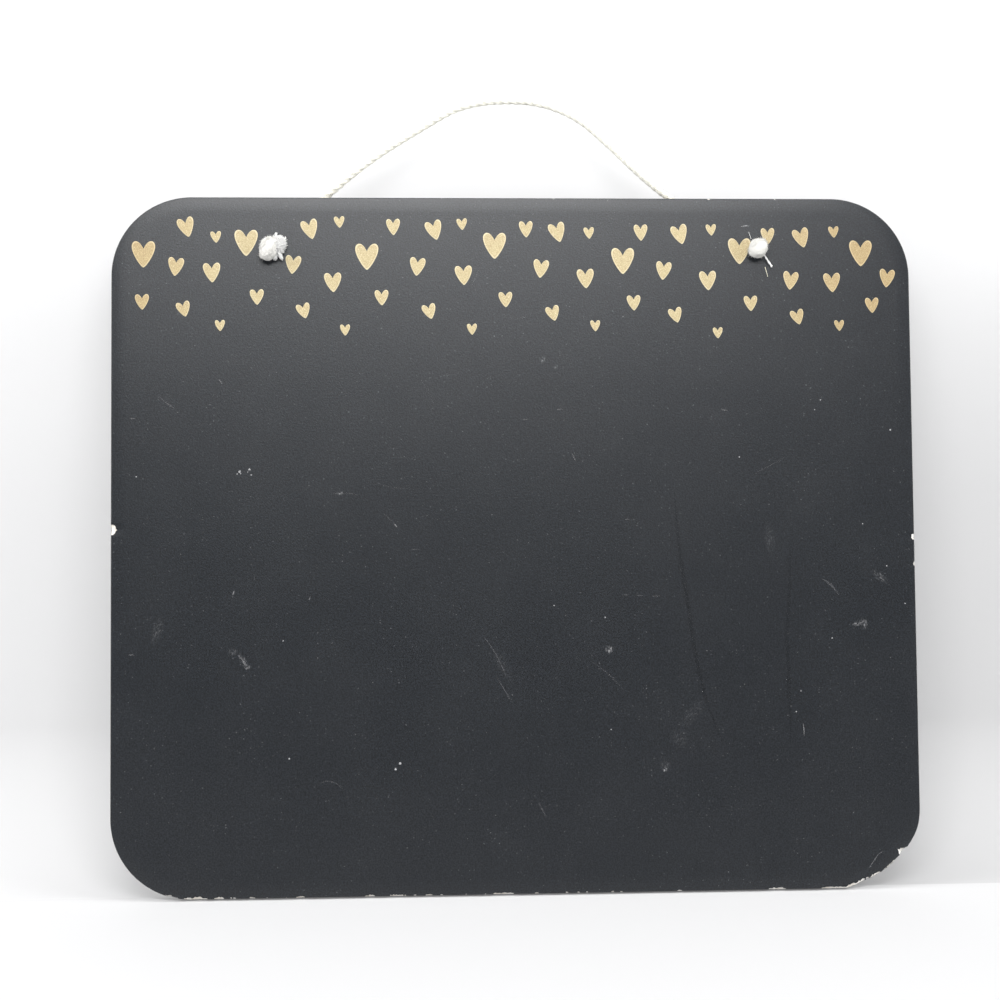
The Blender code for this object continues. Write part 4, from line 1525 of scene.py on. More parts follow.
MOTIFS = (
    Motif(8.9, 10.3, 0, 3.5, 19.0, {0: (8.5, 5.0), 2: (-1.5, 4.5), 3: (0.0, -0.5), 4: (2.0, 4.5)}),
    Motif(6.4, 7.7, 14, 27.5, 13.0, {0: (0.5, 0.5), 1: (0.0, 0.5), 5: (0.0, 0.5)}),
    Motif(
        4.0, 4.5, 4, 39.5, 11.0,
        {0: (-0.5, 6.0), 1: (-1.0, -0.5), 2: (-1.5, -0.5), 3: (0.0, 2.0), 5: (0.5, 0.0)},
    ),
    Motif(
        5.3, 6.4, 2, 14.0, 12.5,
        {2: (-2.0, -0.5), 3: (1.5, -0.5), 4: (-1.5, 0.0), 5: (0.5, 0.5)}, (0, 1, 6),
    ),
    Motif(6.0, 7.2, -6, 21.0, 27.0, {0: (3.0, 1.5), 5: (2.0, 3.0), 6: (-7.5, 1.5)}),
    Motif(6.6, 7.6, 3, 38.0, 30.5, {0: (-0.5, 0.0), 1: (-2.0, 3.0), 2: (0.5, -0.5), 5: (1.0, 0.0)}),
    Motif(5.3, 6.0, 2, 7.5, 39.0, {0: (4.0, 3.0), 1: (0.0, 0.5), 4: (2.0, 0.5)}),
    Motif(5.3, 5.9, 14, 25.5, 44.0, {0: (1.5, 0.5), 1: (-0.5, 0.5)}),
    Motif(3.8, 4.3, 2, 41.5, 50.5, {0: (-1.0, 0.0), 1: (-1.0, 1.0), 3: (0.0, -2.0), 5: (0.0, -3.5)}),
)


@dataclass
class HeartBand:
    """The band of small gold hearts along the top of the writing face."""

    pitch: float = 0.0468
    slope: float = 0.0157
    clearance: float = 0.0021
    sunk: float = 0.00001
    relief: float = 0.00006
    rim: float = 0.88
    curve_steps: int = 12

    def places(self) -> list[tuple[float, float, Motif]]:
        """Every heart that lies whole on the face: its middle and its motif.

        Returns:
            Each heart's middle, across and up, and its motif.
        """
        found = []
        middle = Vector((BOARD_WIDTH / 2 - CORNER_RADIUS, BOARD_HEIGHT / 2 - CORNER_RADIUS))
        for motif in MOTIFS:
            reach = motif.width * MILLIMETRE / 2 + self.clearance
            for repeat in range(math.ceil(BOARD_WIDTH / self.pitch)):
                right, down = motif.nudges.get(repeat, (0, 0))
                x = -BOARD_WIDTH / 2 + motif.from_left * MILLIMETRE + self.pitch * repeat + right * MILLIMETRE
                z = BOARD_HEIGHT / 2 - motif.drop * MILLIMETRE - self.slope * x - down * MILLIMETRE
                away = Vector((abs(x), z)) - middle
                off = away.x > 0 and away.y > 0 and away.length + reach > CORNER_RADIUS
                if repeat not in motif.left_out and not off and abs(x) + reach <= BOARD_WIDTH / 2:
                    found.append((x, z, motif))
        return found

    def build(self, trees: Trees, ink: Material) -> None:
        """Builds and dresses the band.

        Args:
            trees: The Geometry Nodes trees.
            ink: The finish.
        """
        places = self.places()
        points = np.array([(x, FACE_PLANE + self.sunk, z) for x, z, _ in places])
        sizes = [(motif.width * MILLIMETRE, motif.height * MILLIMETRE, 1.0) for *_, motif in places]
        turns = [(math.pi / 2, -math.radians(motif.tilt), 0.0) for *_, motif in places]
        seeds = carrier_mesh("heart_places", points[:, None], {"size": sizes, "turn": turns})
        values = {"relief": self.relief, "rim": self.rim, "curve_steps": self.curve_steps}
        band = piece("gold_hearts", grown("gold_hearts", seeds, trees.hearts, ink, **values), ink)
        settle(Slot.PRINT, band)


class Tone(Enum):
    """Whether a mark is lighter or darker than the paint."""

    LIGHT = "light"
    DARK = "dark"


@dataclass(frozen=True)
class Stroke:
    """One mark on the face: its points across and up, its width in millimetres and its strength."""

    points: tuple
    width: float
    strength: float
    tone: Tone = Tone.LIGHT


LEFT_STREAK = (
    (59.5, 20.3), (61.2, -1.5), (62.8, -14.3), (64.6, -26.1),
    (66.1, -37.9), (68.9, -52.7), (71.9, -63.5), (76.9, -76.5),
)
RIGHT_STREAK = ((103.7, -1.8), (102.9, -20.6), (101.9, -36.3), (102.2, -51.1), (102.6, -76.8))
STROKES = (
    Stroke(((-134.6, 56.3), (-131.0, 53.2), (-127.2, 50.6)), 0.30, 0.55),
    Stroke(((-111.6, 62.2), (-110.1, 60.0)), 0.40, 0.9),
    Stroke(((-144.6, 47.3), (-142.3, 47.3)), 0.40, 0.7),
    Stroke(((-53.9, 22.9), (-46.4, 21.0), (-38.5, 20.2)), 0.26, 0.22),
    Stroke(((-69.9, 18.9), (-66.4, 19.0), (-59.6, 18.6)), 0.30, 0.35),
    Stroke(((-75.1, -89.3), (-71.8, -88.2), (-68.4, -88.9), (-65.5, -91.4)), 0.40, 0.30),
    Stroke(((-77.5, -19.6), (-78.2, -21.0)), 0.42, 0.9),
    Stroke(((-105.8, -17.2), (-106.5, -18.9)), 0.45, 1.2),
    Stroke(((128.6, -32.2), (130.6, -31.2), (132.4, -30.2)), 0.80, 0.42),
    Stroke(((-50.2, 11.4), (-46.5, 7.8)), 0.30, 0.45),
    Stroke(((-46.5, 7.8), (-45.0, 5.8)), 0.45, 1.2),
    Stroke(((-40.2, -2.3), (-36.4, -2.4)), 0.30, 0.4),
    Stroke(((-37.5, 63.6), (-33.0, 57.5), (-30.4, 50.7)), 0.26, 0.32),
    Stroke(((-16.8, 96.6), (-13.8, 102.7), (-11.8, 107.7)), 0.24, 0.4),
    Stroke(((-6.7, 87.9), (-1.0, 84.8), (5.8, 86.3), (11.6, 89.8)), 0.26, 0.22),
    Stroke(((20.8, 33.8), (22.5, 30.4)), 0.38, 0.83),
    Stroke(((15.3, 50.2), (17.6, 50.2)), 0.36, 0.68),
    Stroke(((2.4, 46.4), (4.7, 46.4)), 0.36, 0.68),
    Stroke(((40.6, 8.4), (42.9, 8.4)), 0.38, 0.68),
    Stroke(((39.1, -20.0), (41.7, -20.1)), 0.28, 0.5),
    Stroke(((44.4, -20.2), (47.4, -20.4)), 0.28, 0.5),
    Stroke(((50.5, -20.5), (53.9, -20.6)), 0.28, 0.5),
    Stroke(((77.4, 50.0), (80.8, 49.6)), 0.38, 0.68),
    Stroke(((86.6, 120.0), (88.4, 120.4), (90.1, 120.3)), 0.5, 1.4),
    Stroke(((88.5, 24.4), (95.8, 28.2), (102.0, 31.6)), 0.26, 0.32),
    Stroke(((115.3, -14.3), (119.3, -17.3), (121.9, -20.9)), 0.80, 0.28),
    Stroke(((-144.8, -40.6), (-142.6, -40.7)), 0.40, 0.75),
    Stroke(((-104.6, -41.0), (-102.6, -43.2), (-100.7, -45.8)), 0.55, 0.55),
    Stroke(((-102.4, -45.6), (-101.2, -46.2), (-99.6, -45.4)), 0.45, 0.5),
    Stroke(((-13.1, -34.9), (-8.6, -41.5), (-4.6, -50.2)), 0.30, 0.42),
    Stroke(((-8.7, -49.4), (-5.7, -54.6), (-2.4, -59.9)), 0.28, 0.38),
    Stroke(((26.5, -44.1), (33.1, -49.1), (40.1, -56.3)), 0.26, 0.3),
    Stroke(((7.0, -97.2), (9.9, -102.8)), 0.36, 0.60),
    Stroke(((107.3, -68.9), (107.6, -71.4), (107.6, -73.8)), 0.45, 0.9),
    Stroke(((131.1, -124.0), (133.1, -121.1), (135.1, -118.4), (137.4, -117.0)), 0.34, 0.7),
    Stroke(LEFT_STREAK, 1.7, 0.26, Tone.DARK),
    Stroke(RIGHT_STREAK, 1.6, 0.22, Tone.DARK),
)

# Crumbs of chalk in millimetres: where each is, across and up, and its size
SPECKS = (
    (-104.2, 26.9, 0.8), (-104.9, 26.2, 0.45), (-103.6, 26.3, 0.4), (-100.5, 27.7, 0.75), (-100.9, 26.9, 0.4),
    (-99.2, 24.9, 0.35), (-99.7, 25.8, 0.5), (-142.3, 25.3, 0.5), (-88.0, -36.2, 0.5), (-85.9, -79.9, 0.55),
    (-46.6, -84.4, 0.7), (-45.0, -82.3, 0.8), (84.4, 31.6, 0.5), (115.9, 53.3, 0.5), (113.7, 49.6, 0.45),
    (142.6, 41.7, 0.6), (131.3, 6.0, 0.45), (13.3, -24.0, 0.5), (32.6, -28.6, 0.45), (34.3, -70.6, 0.5),
    (147.0, -24.4, 0.5), (118.8, -37.2, 0.45), (106.5, -57.0, 0.45), (104.5, -64.8, 0.5), (140.2, -10.1, 0.5),
)


@dataclass
class ChalkMarks:
    """Old scratches, dashes and crumbs of chalk on the writing face."""

    flatness: float = 0.05
    step: float = 0.00025
    wander: float = 0.00012
    crumb: float = 0.0011
    crumb_rise: float = 0.8
    crumb_width: float = 0.6
    crumb_strength: float = 2.0
    fade: float = 0.75
    steps_per_point: int = 4

    def build(self, trees: Trees, finishes: dict[Tone, Material]) -> None:
        """Builds and dresses the light marks and the dark ones.

        Args:
            trees: The Geometry Nodes trees.
            finishes: The finish of each tone.
        """
        for tone, finish in finishes.items():
            lines, widths, strengths = [], [], []
            for stroke in (stroke for stroke in STROKES if stroke.tone is tone):
                chosen = [(x * MILLIMETRE, FACE_PLANE, z * MILLIMETRE) for x, z in stroke.points]
                lines.append(smooth_route(chosen, self.steps_per_point * len(chosen)))
                widths += [stroke.width / 2 * MILLIMETRE] * len(lines[-1])
                strengths += [stroke.strength * self.fade] * len(lines[-1])
            for x, z, size in SPECKS if tone is Tone.LIGHT else ():
                start = np.array((x * MILLIMETRE, FACE_PLANE, z * MILLIMETRE))
                aside = (self.crumb * size, 0.0, self.crumb * size * self.crumb_rise)
                lines.append(np.array([start, start + aside]))
                widths += [size * self.crumb * self.crumb_width] * 2
                strengths += [self.crumb_strength] * 2
            seeds = carrier_mesh("stroke_lines", lines, {"width": widths, "strength": strengths})
            values = {"flatness": self.flatness, "step": self.step, "wander": self.wander}
            name = f"{tone.value}_marks"
            settle(Slot.FACE, piece(name, grown(name, seeds, trees.strokes, finish, **values), finish))


@dataclass(frozen=True)
class Lay:
    """How a rope is laid up: its strands, the yarns in each, and its core."""

    step: float = 0.00040
    strands: int = 3
    strand_radius: float = 0.00058
    rope_lay: float = 0.0092
    yarns: int = 4
    yarn_radius: float = 0.00034
    yarn_lay: float = -0.0045
    yarn_girth: float = 0.00044
    sides: int = 7
    core: float = 0.00106


@dataclass(frozen=True)
class Fuzz:
    """The stray fibres on a rope's surface: how many, how thick and long, and how they lie."""

    seed: int
    density: float = 5.0e6
    half_width: float = 2.2e-5
    shortest: float = 0.0004
    longest: float = 0.0012
    lean: float = 1.1
    bend: float = 7.0


@dataclass
class Rope:
    """The cotton rope: three strands of four yarns, from hole to hole behind the board."""

    diameter: float = 0.0025
    lay: Lay = Lay()
    fuzz: Fuzz = Fuzz(
        seed=11,
        density=1.25e6,
        half_width=2.4e-5,
        shortest=0.0003,
        longest=0.0011,
        lean=1.3,
        bend=9.0,
    )
    bend_radius: float = 0.0030
    bend_inset: float = 0.0008
    bend_steps: int = 6
    rises: Span = (math.radians(40), math.radians(30))
    swing_depth: float = 0.0022
    blend_from: float = 0.0006
    blend_to: float = 0.0085
    line_points: int = 420
    route: tuple = (
        (-0.0815, 0.0098), (-0.0710, 0.0191), (-0.0618, 0.0270), (-0.0521, 0.0344), (-0.0423, 0.0408),
        (-0.0325, 0.0468), (-0.0228, 0.0523), (-0.0129, 0.0552), (-0.0032, 0.0561), (0.0067, 0.0557),
        (0.0164, 0.0534), (0.0262, 0.0484), (0.0359, 0.0402), (0.0457, 0.0308), (0.0554, 0.0222),
        (0.0650, 0.0150), (0.0750, 0.0093), (0.0830, 0.0052),
    )

    def exit(self, side: Side) -> list[np.ndarray]:
        """The rope through one hole and round its bend behind the board.

        Args:
            side: The hole.

        Returns:
            The points, from inside the hole.
        """
        rise = self.rises[0] if side is Side.LEFT else self.rises[1]
        x = side.value * HOLE_ACROSS
        heading = np.array((-side.value * math.cos(rise), 0.0, math.sin(rise)))
        start = np.array((x, -self.bend_inset, HOLE_HEIGHT))
        points = [np.array((x, ROPE_START_DEPTH, HOLE_HEIGHT))]
        for step in range(self.bend_steps + 1):
            angle = math.pi / 2 * step / self.bend_steps
            back = np.array((0.0, self.bend_radius * math.sin(angle), 0.0))
            points.append(start + back + self.bend_radius * (1 - math.cos(angle)) * heading)
        return points

    def line(self) -> np.ndarray:
        """The rope's centreline, from inside the left hole to inside the right one.

        Returns:
            The points.
        """
        chosen = [np.array((x, self.swing_depth, HOLE_HEIGHT + up)) for x, up in self.route]
        whole = [*self.exit(Side.LEFT), *chosen, *reversed(self.exit(Side.RIGHT))]
        return smooth_route(whole, self.line_points)

    def laid(
        self, name: str, line: np.ndarray, girth: np.ndarray, trees: Trees, cotton: Material
    ) -> Mesh:
        """Lays the rope's strands and yarns along a line.

        Args:
            name: The mesh's name.
            line: The centreline.
            girth: The rope's thickness at each point, as a share of its full diameter.
            trees: The Geometry Nodes trees.
            cotton: The finish.

        Returns:
            The mesh.
        """
        seeds = carrier_mesh(name + "_line", [line], {"girth": girth})
        return grown(name, seeds, trees.laid_rope, cotton, **vars(self.lay))

    def build(self, trees: Trees, cotton: Material) -> tuple[Object, Object, np.ndarray]:
        """Builds and dresses the rope's free stretch and its stray fibres.

        Args:
            trees: The Geometry Nodes trees.
            cotton: The finish.

        Returns:
            The rope, its stray fibres and its centreline.
        """
        line = self.line()
        laid = self.laid("cotton_rope", line, np.ones(len(line)), trees, cotton)
        stray = grown("rope_fuzz", laid.copy(), trees.fuzz, cotton, **vars(self.fuzz))
        rope, fuzz = piece("cotton_rope", laid, cotton), piece("rope_fuzz", stray, cotton)
        for made in (rope, fuzz):
            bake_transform(made)
        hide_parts("rope_handle", "rope_left_exit", "rope_right_exit")
        return rope, fuzz, line


@dataclass
class Knot:
    """A stopper knot: the rope's end wound as an overhand knot against the writing face."""

    side: Side
    turn: float
    tail_end: Point
    tail_heading: Point
    ring_radius: float = 0.00240
    coil_radius: float = 0.00115
    coil_width: float = 0.00170
    strand: float = 0.0023
    full_strand: float = 0.0026
    opening: float = math.pi / 6
    face_gap: float = 0.0003
    shift: Span = (0.0, 0.0)
    filling: Point = (0.0035, 0.0040, 0.0046)
    filling_shift: Point = (0.0, 0.0, 0.0)
    filling_detail: int = 5
    lumps: Span = (0.05, 3.1)
    fine_lumps: Span = (0.022, 9.0)
    fuzz_seed: int = 21
    wound_points: int = 44
    lead_points: int = 4
    tail_points: int = 8
    line_points: int = 260
    hole_girth: float = 0.95
    eased_points: int = 12

    def wound(self, turn: float) -> np.ndarray:
        """A point of the wound part, turned on the face.

        Args:
            turn: How far round the knot, in radians.

        Returns:
            The point, from the knot's middle.
        """
        ring = self.ring_radius + self.coil_radius * math.cos(3 * turn)
        right, up = -self.coil_width * math.sin(3 * turn), ring * math.sin(2 * turn)
        cos, sin = math.cos(self.turn), math.sin(self.turn)
        return np.array((right * cos - up * sin, ring * math.cos(2 * turn), right * sin + up * cos))

    def line(self) -> tuple[np.ndarray, np.ndarray, np.ndarray]:
        """The way of the rope, from inside the hole to the end of the tail.

        Returns:
            The centreline, the girth at each of its points, and the knot's middle.
        """
        turns = np.linspace(self.opening, math.tau - self.opening, self.wound_points)
        wound = [self.wound(turn) for turn in turns]
        seat = max(point[1] for point in wound) + self.strand / 2
        x = self.side.value * HOLE_ACROSS
        across, up = x - wound[0][0] + self.shift[0], HOLE_HEIGHT - wound[0][2] + self.shift[1]
        middle = np.array((across, FACE_PLANE - self.face_gap - seat, up))
        wound = [middle + point for point in wound]
        hole_end = np.array((x, ROPE_START_DEPTH, HOLE_HEIGHT))
        way, steps = wound[0] - hole_end, self.lead_points
        lead = [hole_end + way * step / steps for step in range(steps)]
        right, out, up = self.tail_end
        end = np.array((middle[0] + right, FACE_PLANE - out, middle[2] + up))
        leaving = wound[-1] - wound[-2]
        leaving = leaving / np.linalg.norm(leaving)
        reach = np.linalg.norm(end - wound[-1])
        tail = []
        for t in np.linspace(0, 1, self.tail_points)[1:]:
            bent = (2 * t**3 - 3 * t**2 + 1) * wound[-1] + (t**3 - 2 * t**2 + t) * leaving * reach
            turned = (t**3 - t**2) * np.array(self.tail_heading) * reach
            tail.append(bent + (3 * t**2 - 2 * t**3) * end + turned)
        line = smooth_route([*lead, *wound, *tail], self.line_points)
        girth = np.full(len(line), self.strand / self.full_strand)
        girth[: self.eased_points] = np.linspace(self.hole_girth, girth[self.eased_points], self.eased_points)
        return line, girth, middle

    def build(
        self, name: str, rope: Rope, trees: Trees, cotton: Material, node: str
    ) -> tuple[list[Object], np.ndarray]:
        """Builds and dresses the knot, its packing and its stray fibres.

        Args:
            name: The name of its rope.
            rope: The rope it is tied in.
            trees: The Geometry Nodes trees.
            cotton: The finish.
            node: The node that it stands for.

        Returns:
            The pieces, and where the tail ends.
        """
        line, girth, middle = self.line()
        laid = rope.laid(name, line, girth, trees, cotton)
        packed = self.packing(name + "_packing", middle)
        fuzz = Fuzz(self.fuzz_seed + self.side.value)
        stray = grown(name + "_fuzz", laid.copy(), trees.fuzz, cotton, **vars(fuzz))
        meshes = {name: laid, name + "_packing": packed, name + "_fuzz": stray}
        pieces = [piece(label, mesh, cotton) for label, mesh in meshes.items()]
        settle(Slot.ROPE, *pieces)
        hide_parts(node)
        return pieces, line[-1]

    def packing(self, name: str, middle: np.ndarray) -> Mesh:
        """The felted cotton that the tightly drawn turns squeeze into one ball.

        Args:
            name: The mesh's name.
            middle: The knot's middle.

        Returns:
            The mesh.
        """
        bm = bmesh.new()
        bmesh.ops.create_icosphere(bm, subdivisions=self.filling_detail, radius=1.0)
        turn = Matrix.Rotation(self.turn, 3, "Y")
        (height, scale), (fine_height, fine_scale) = self.lumps, self.fine_lumps
        for vert in bm.verts:
            lump = height * noise(vert.co * scale + Vector(middle) * 900)
            uneven = 1 + lump + fine_height * noise(vert.co * fine_scale)
            swollen = Vector(part * size for part, size in zip(vert.co * uneven, self.filling))
            vert.co = turn.inverted() @ swollen
            vert.co += Vector(middle) + Vector(self.filling_shift)
        return mesh_of(name, bm)


@dataclass(frozen=True)
class Tuft:
    """One lock of the brush, in millimetres: where it ends, its thickness and its share of the fibres."""

    right: float
    up: float
    width: float
    share: float


TUFTS = tuple(
    Tuft(*values)
    for values in (
        (2.6, 3.4, 0.80, 1.6), (3.0, 2.6, 0.80, 1.6), (3.1, 1.7, 0.80, 1.6), (2.8, 0.6, 0.80, 1.3),
        (2.3, -0.1, 0.60, 0.9), (1.9, 3.9, 0.85, 1.4), (1.1, 4.2, 0.85, 1.4), (0.3, 4.3, 0.85, 1.3),
        (-0.7, 4.2, 0.70, 1.1), (-0.1, 5.8, 0.30, 0.5), (1.6, 4.9, 0.25, 0.3), (1.5, 1.6, 1.20, 2.6),
        (2.6, -1.5, 0.34, 0.6), (1.4, -1.6, 0.60, 1.1), (1.9, -4.1, 0.42, 0.9), (-0.6, -4.0, 0.70, 1.2),
    )
)


@dataclass
class FrayedEnd:
    """The untwisted end of the left knot: a flattened brush of loose fibres, drawn into locks."""

    middle: Point = (-0.0896, -0.0062, 0.1112)
    fibres: int = 1700
    draws: int = 5
    root_spread: float = 0.0007
    root_from_tail: float = 0.3
    deep_spread: float = 0.0012
    behind: float = 0.0016
    face_gap: float = 0.0004
    shortest_share: float = 0.92

    def build(self, start: np.ndarray, trees: Trees, cotton: Material) -> Object:
        """Builds and dresses the brush from where the tail ends.

        Args:
            start: Where the tail ends.
            trees: The Geometry Nodes trees.
            cotton: The finish.

        Returns:
            The brush.
        """
        chance = np.random.default_rng(self.draws)
        shares = np.array([tuft.share for tuft in TUFTS])
        roots, headings, reaches = [], [], []
        core = Vector(self.middle) * (1 - self.root_from_tail) + Vector(start) * self.root_from_tail
        for lock in chance.choice(len(TUFTS), self.fibres, p=shares / shares.sum()):
            tuft = TUFTS[lock]
            spread = chance.normal(0, tuft.width / 2 * MILLIMETRE, 3)
            end = Vector((tuft.right * MILLIMETRE, self.behind, tuft.up * MILLIMETRE)) + Vector(spread)
            end += Vector(self.middle) + Vector((0.0, chance.uniform(-1, 1) * self.deep_spread, 0.0))
            end.y = min(end.y, FACE_PLANE - self.face_gap)
            root = core + Vector(chance.normal(0, self.root_spread, 3))
            way = end - root
            roots.append(np.array([root]))
            headings.append(tuple(way.normalized()))
            reaches.append(way.length * chance.uniform(self.shortest_share, 1.0))
        seeds = carrier_mesh("brush_roots", roots, {"heading": headings, "reach": reaches})
        values = {"half_width": 1.25e-4, "bend": 0.9, "tip": 0.75, "seed": 3}
        name = "left_frayed_brush"
        brush = piece(name, grown(name, seeds, trees.brush, cotton, **values), cotton)
        settle(Slot.FRAY, brush)
        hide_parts("left_frayed_end")
        return brush


@dataclass
class LooseYarn:
    """The one yarn that hangs from the right knot, its frayed tip and two stray fibres."""

    bends: tuple = ((0.0955, -0.0053, 0.1081), (0.0968, -0.0045, 0.1064))
    tip: Point = (0.0982, -0.0039, 0.1046)
    lay: Lay = Lay(
        step=0.00015,
        strands=2,
        strand_radius=0.00015,
        rope_lay=0.0040,
        yarns=3,
        yarn_radius=0.00009,
        yarn_lay=-0.0013,
        yarn_girth=0.00021,
        core=0.0001,
    )
    girths: Span = (0.55, 1.05)
    line_points: int = 60
    draws: int = 8
    tip_fibres: int = 16
    tip_spread: float = 0.13
    tip_flatness: float = 0.4
    tip_reach: float = 0.0008
    tip_shortest: float = 0.4
    tip_overlap: float = 0.0003
    tip_breadth: float = 0.0002
    tip_half_width: float = 9.0e-5
    yellow_half_width: float = 1.3e-4
    white_stray: tuple = ((0.0902, -0.0048, 0.1151), (-0.0009, -0.0001, 0.0026))
    yellow_stray: tuple = ((0.0957, -0.0034, 0.1044), (0.0010, 0.0, -0.0037))

    def build(
        self, start: np.ndarray, trees: Trees, cotton: Material, yellowed: Material
    ) -> list[Object]:
        """Builds and dresses the yarn from where the right knot's tail ends.

        Args:
            start: Where the tail ends.
            trees: The Geometry Nodes trees.
            cotton: The finish of the yarn.
            yellowed: The finish of the older stray fibre.

        Returns:
            The yarn and its fibres.
        """
        chance = np.random.default_rng(self.draws)
        line = smooth_route([start, *self.bends, self.tip], self.line_points)
        seeds = carrier_mesh("loose_yarn_line", [line], {"girth": np.linspace(*self.girths, len(line))})
        name = "right_hanging_yarn"
        yarn = piece(name, grown(name, seeds, trees.laid_rope, cotton, **vars(self.lay)), cotton)
        along = Vector(line[-1] - line[-4]).normalized()
        strays = []
        for _ in range(self.tip_fibres):
            aside = Vector(chance.normal(0, 1, 3)) * self.tip_spread
            aside.y *= self.tip_flatness
            root = Vector(line[-1]) - along * self.tip_overlap + aside * self.tip_breadth
            reach = self.tip_reach * chance.uniform(self.tip_shortest, 1.0)
            strays.append((root, (along + aside).normalized(), reach))
        place, way = self.white_stray
        strays.append((place, way, np.linalg.norm(way)))
        fibres = self.fibres("right_loose_fibres", strays, self.tip_half_width, trees, cotton)
        place, way = self.yellow_stray
        strays = [(place, way, np.linalg.norm(way))]
        old = self.fibres("right_yellowed_fibre", strays, self.yellow_half_width, trees, yellowed)
        settle(Slot.FRAY, yarn, fibres, old)
        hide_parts("right_loose_yarn")
        return [yarn, fibres, old]

    @staticmethod
    def fibres(
        name: str, strays: list[tuple], half_width: float, trees: Trees, finish: Material
    ) -> Object:
        """Builds fibres from their roots, headings and lengths.

        Args:
            name: The name of the piece.
            strays: Each fibre's root, heading and length.
            half_width: Half a fibre's thickness.
            trees: The Geometry Nodes trees.
            finish: The finish.

        Returns:
            The piece.
        """
        roots, headings, reaches = zip(*strays)
        numbers = {"heading": headings, "reach": reaches}
        seeds = carrier_mesh(name + "_roots", [np.array([root]) for root in roots], numbers)
        values = {"half_width": half_width, "bend": 0.3, "tip": 0.5, "seed": 4}
        return piece(name, grown(name, seeds, trees.brush, finish, **values), finish)


@dataclass(frozen=True)
class Lamp:
    """One soft lamp: where it is, what it faces, its size and its power."""

    name: str
    place: Point
    aim: Point
    size: Span
    power: float

    def build(self) -> None:
        """Makes the lamp."""
        data = bpy.data.lights.new(self.name, "AREA")
        data.shape = "RECTANGLE"
        data.size, data.size_y = self.size
        data.energy = self.power
        lamp = bpy.data.objects.new(self.name, data)
        lamp.location = self.place
        lamp.rotation_mode = "QUATERNION"
        lamp.rotation_quaternion = (Vector(self.aim) - Vector(self.place)).to_track_quat("-Z", "Y")
        bpy.context.scene.collection.objects.link(lamp)


LAMPS = (
    Lamp("overhead", (-0.03, -0.75, 0.45), (0.0, 0.0, 0.10), (0.62, 0.36), 5.8),
    Lamp("top", (0.0, -0.20, 0.80), (0.0, -0.02, 0.1), (1.0, 0.3), 4.0),
    Lamp("left_side", (-0.85, -0.30, 0.25), (0.0, 0.0, 0.05), (0.5, 0.7), 5.0),
    Lamp("right_side", (0.85, -0.36, 0.25), (0.0, 0.0, 0.05), (0.5, 0.7), 5.0),
    Lamp("under", (0.0, 0.10, -0.40), (0.0, 0.002, 0.15), (0.30, 0.05), 0.6),
    Lamp("behind", (-0.3, 1.3, 0.8), (0.0, 0.0, 0.0), (1.2, 0.8), 3.0),
)


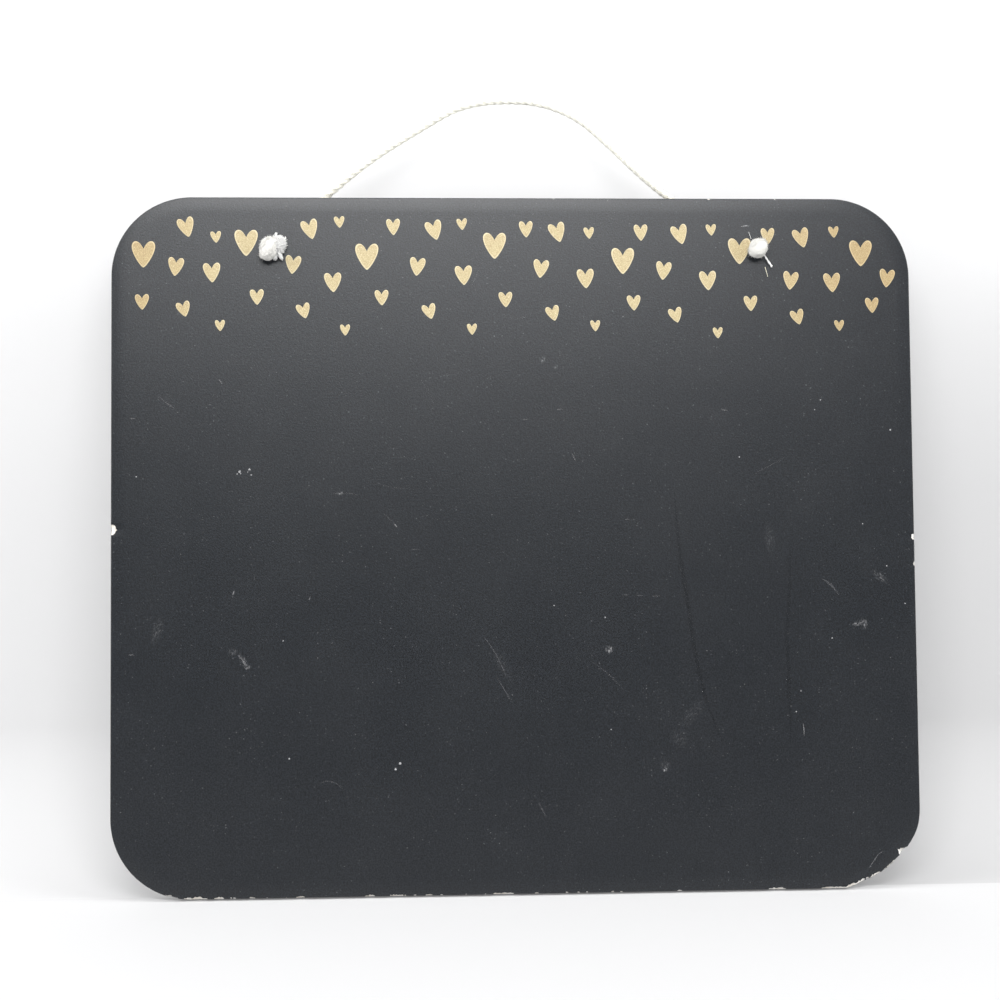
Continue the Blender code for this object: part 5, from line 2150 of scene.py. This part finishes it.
@dataclass
class Studio:
    """The camera at the photograph's viewing angle, a pale sweep that the board leans on, and soft light."""

    lens: float = 68.77
    place: Point = (-0.04684, -0.71949, -0.02403)
    right: Point = (0.99840, -0.05584, -0.00918)
    up: Point = (0.00604, -0.05618, 0.99840)
    forward: Point = (0.05626, 0.99686, 0.05575)
    lean: float = math.radians(9.0)
    foot: float = -0.1312
    floor_width: float = 2.4
    floor_depths: Point = (-1.3, -0.6, -0.3, -0.1, -0.02, 0.003)
    floor_shade: float = 0.5
    floor_glow: float = 0.13
    bend: float = 0.060
    bend_steps: int = 12
    wall: tuple = ((0.052, 0.02), (0.034, 0.08), (0.020, 0.14), (0.014, 0.20), (0.014, 0.40), (0.014, 1.2))
    wall_shade: float = 0.50
    # Painted light and shade on the backdrop: its glow falls from wall_glow high up to wall_glow_low lower
    # down, and is dimmed to the right and at its foot.
    wall_glow: float = 0.41
    wall_glow_low: float = 0.24
    wall_right_dim: float = 0.13
    wall_foot_dim: float = 0.06
    ambient_low: float = 0.04
    ambient_high: float = 0.6

    def camera(self) -> None:
        """Makes the camera."""
        data = bpy.data.cameras.new("photo_camera")
        data.lens = self.lens
        data.sensor_width = 36.0
        data.clip_start = 0.01
        camera = bpy.data.objects.new("photo_camera", data)
        bpy.context.scene.collection.objects.link(camera)
        turn = Matrix((self.right, self.up, [-part for part in self.forward])).transposed()
        camera.matrix_world = Matrix.Translation(self.place) @ turn.to_4x4()
        bpy.context.scene.camera = camera

    def sheet(self, name: str, profile: list[Span], paper: StudioPaper) -> None:
        """Makes a sheet of paper as wide as the floor from its side view.

        Args:
            name: The sheet's name.
            profile: The points (y, z) of its side view.
            paper: The finish.
        """
        bm = bmesh.new()
        half = self.floor_width / 2
        left, right = ([bm.verts.new((x, y, z)) for y, z in profile] for x in (-half, half))
        for step in range(len(profile) - 1):
            bm.faces.new((left[step], right[step], right[step + 1], left[step + 1]))
        piece(name, mesh_of(name, bm), paper.build())

    def sweep(self) -> None:
        """Makes the floor, tilted as the board leans, and the paper that rises behind it."""
        slope = math.tan(self.lean)
        floor = [(y, self.foot + y * slope) for y in self.floor_depths]
        start, foot = floor[-1]
        rise = []
        for step in range(1, self.bend_steps + 1):
            angle = math.pi / 2 * step / self.bend_steps
            back = start + (self.bend - start) * math.sin(angle)
            rise.append((back, foot + self.bend * (1 - math.cos(angle))))
        shade, glow = self.floor_shade, self.floor_glow
        floor_paper = StudioPaper("floor_paper", shade=shade, glow=glow, glow_low=glow)
        self.sheet("floor", floor, floor_paper)
        wall_paper = StudioPaper(
            "backdrop_paper",
            shade=self.wall_shade,
            glow=self.wall_glow,
            glow_low=self.wall_glow_low,
            right_dim=self.wall_right_dim,
            foot_dim=self.wall_foot_dim,
            seen_only=True,
        )
        self.sheet("backdrop", [floor[-1], *rise, *self.wall], wall_paper)

    def light(self) -> None:
        """Makes the lamps and the world."""
        for lamp in LAMPS:
            lamp.build()
        world = bpy.data.worlds.new("studio_world")
        world.use_nodes = True
        wiring = Wiring(world.node_tree)
        seen = wiring.add("ShaderNodeLightPath").outputs["Is Camera Ray"]
        way = wiring.parts(wiring.add("ShaderNodeTexCoord").outputs["Generated"])
        ambient = wiring.mapped(way["Z"], -0.2, 0.75, self.ambient_low, self.ambient_high)
        level = wiring.sum("MULTIPLY_ADD", ambient, wiring.sum("SUBTRACT", 1.0, seen), seen)
        wiring.dress(world.node_tree.nodes["Background"], {"Color": WHITE, "Strength": level})
        bpy.context.scene.world = world

    def build(self) -> None:
        """Makes the whole studio."""
        self.camera()
        self.sweep()
        self.light()
        bpy.context.scene.view_settings.view_transform = "Standard"


def knots() -> tuple[Knot, Knot]:
    """The left and the right stopper knot.

    Returns:
        The left knot and the right one.
    """
    left = Knot(
        Side.LEFT,
        math.radians(-12),
        (0.0016, 0.0044, 0.0006),
        (0.93, -0.10, 0.10),
        shift=(-0.0012, 0.0),
        filling_shift=(0.0004, 0.0, -0.0002),
    )
    right = Knot(
        Side.RIGHT,
        math.radians(-24),
        (0.0013, 0.0040, -0.0016),
        (0.30, -0.10, -0.90),
        ring_radius=0.00200,
        coil_radius=0.00100,
        coil_width=0.00200,
        shift=(-0.0014, 0.0003),
        filling=(0.0035, 0.0036, 0.0038),
    )
    return left, right


def main() -> None:
    logging.basicConfig(level=logging.INFO, format="%(message)s")
    Studio().build()
    effects = Effects()
    trees = Trees()
    # The rope's finish gets painted shade towards its low ends, up to a little above the holes' height.
    cotton = Cotton("laid_cotton", stained_height=HOLE_HEIGHT).build(effects)
    tight = Cotton(
        "knot_cotton", white=(0.71, 0.70, 0.665), shade=(0.67, 0.655, 0.615), evenness=0.45, sheen=1.0
    )
    knot_cotton = tight.build(effects)
    loose = Cotton(
        "brush_cotton", white=(0.90, 0.895, 0.88), shade=(0.86, 0.855, 0.835), evenness=0.5, sheen=0.8
    )
    brush_cotton = loose.build(effects)
    yellowed = Cotton("yellowed_cotton", white=(0.93, 0.90, 0.70), shade=(0.80, 0.75, 0.55)).build(effects)
    rope = Rope()
    free_rope, rope_fuzz, centreline = rope.build(trees, cotton)
    left, right = knots()
    left_pieces, left_end = left.build("left_stopper_knot", rope, trees, knot_cotton, "left_knot")
    right_pieces, right_end = right.build("right_stopper_knot", rope, trees, knot_cotton, "right_knot")
    brush = FrayedEnd().build(left_end, trees, brush_cotton)
    yarn = LooseYarn().build(right_end, trees, brush_cotton, yellowed)
    Board(Outline()).build(ChalkFace("chalk_paint").build(effects), PaintedPanel("edge_paint").build(effects))
    HeartBand().build(trees, GoldPrint("gold_glitter").build(effects))
    light = ChalkMark("chalk_line").build(effects)
    dark = ChalkMark("rubbed_line", colour=(0.008, 0.008, 0.009), cover=0.8, broken=0.75).build(effects)
    ChalkMarks().build(trees, {Tone.LIGHT: light, Tone.DARK: dark})


if __name__ == "__main__":
    main()
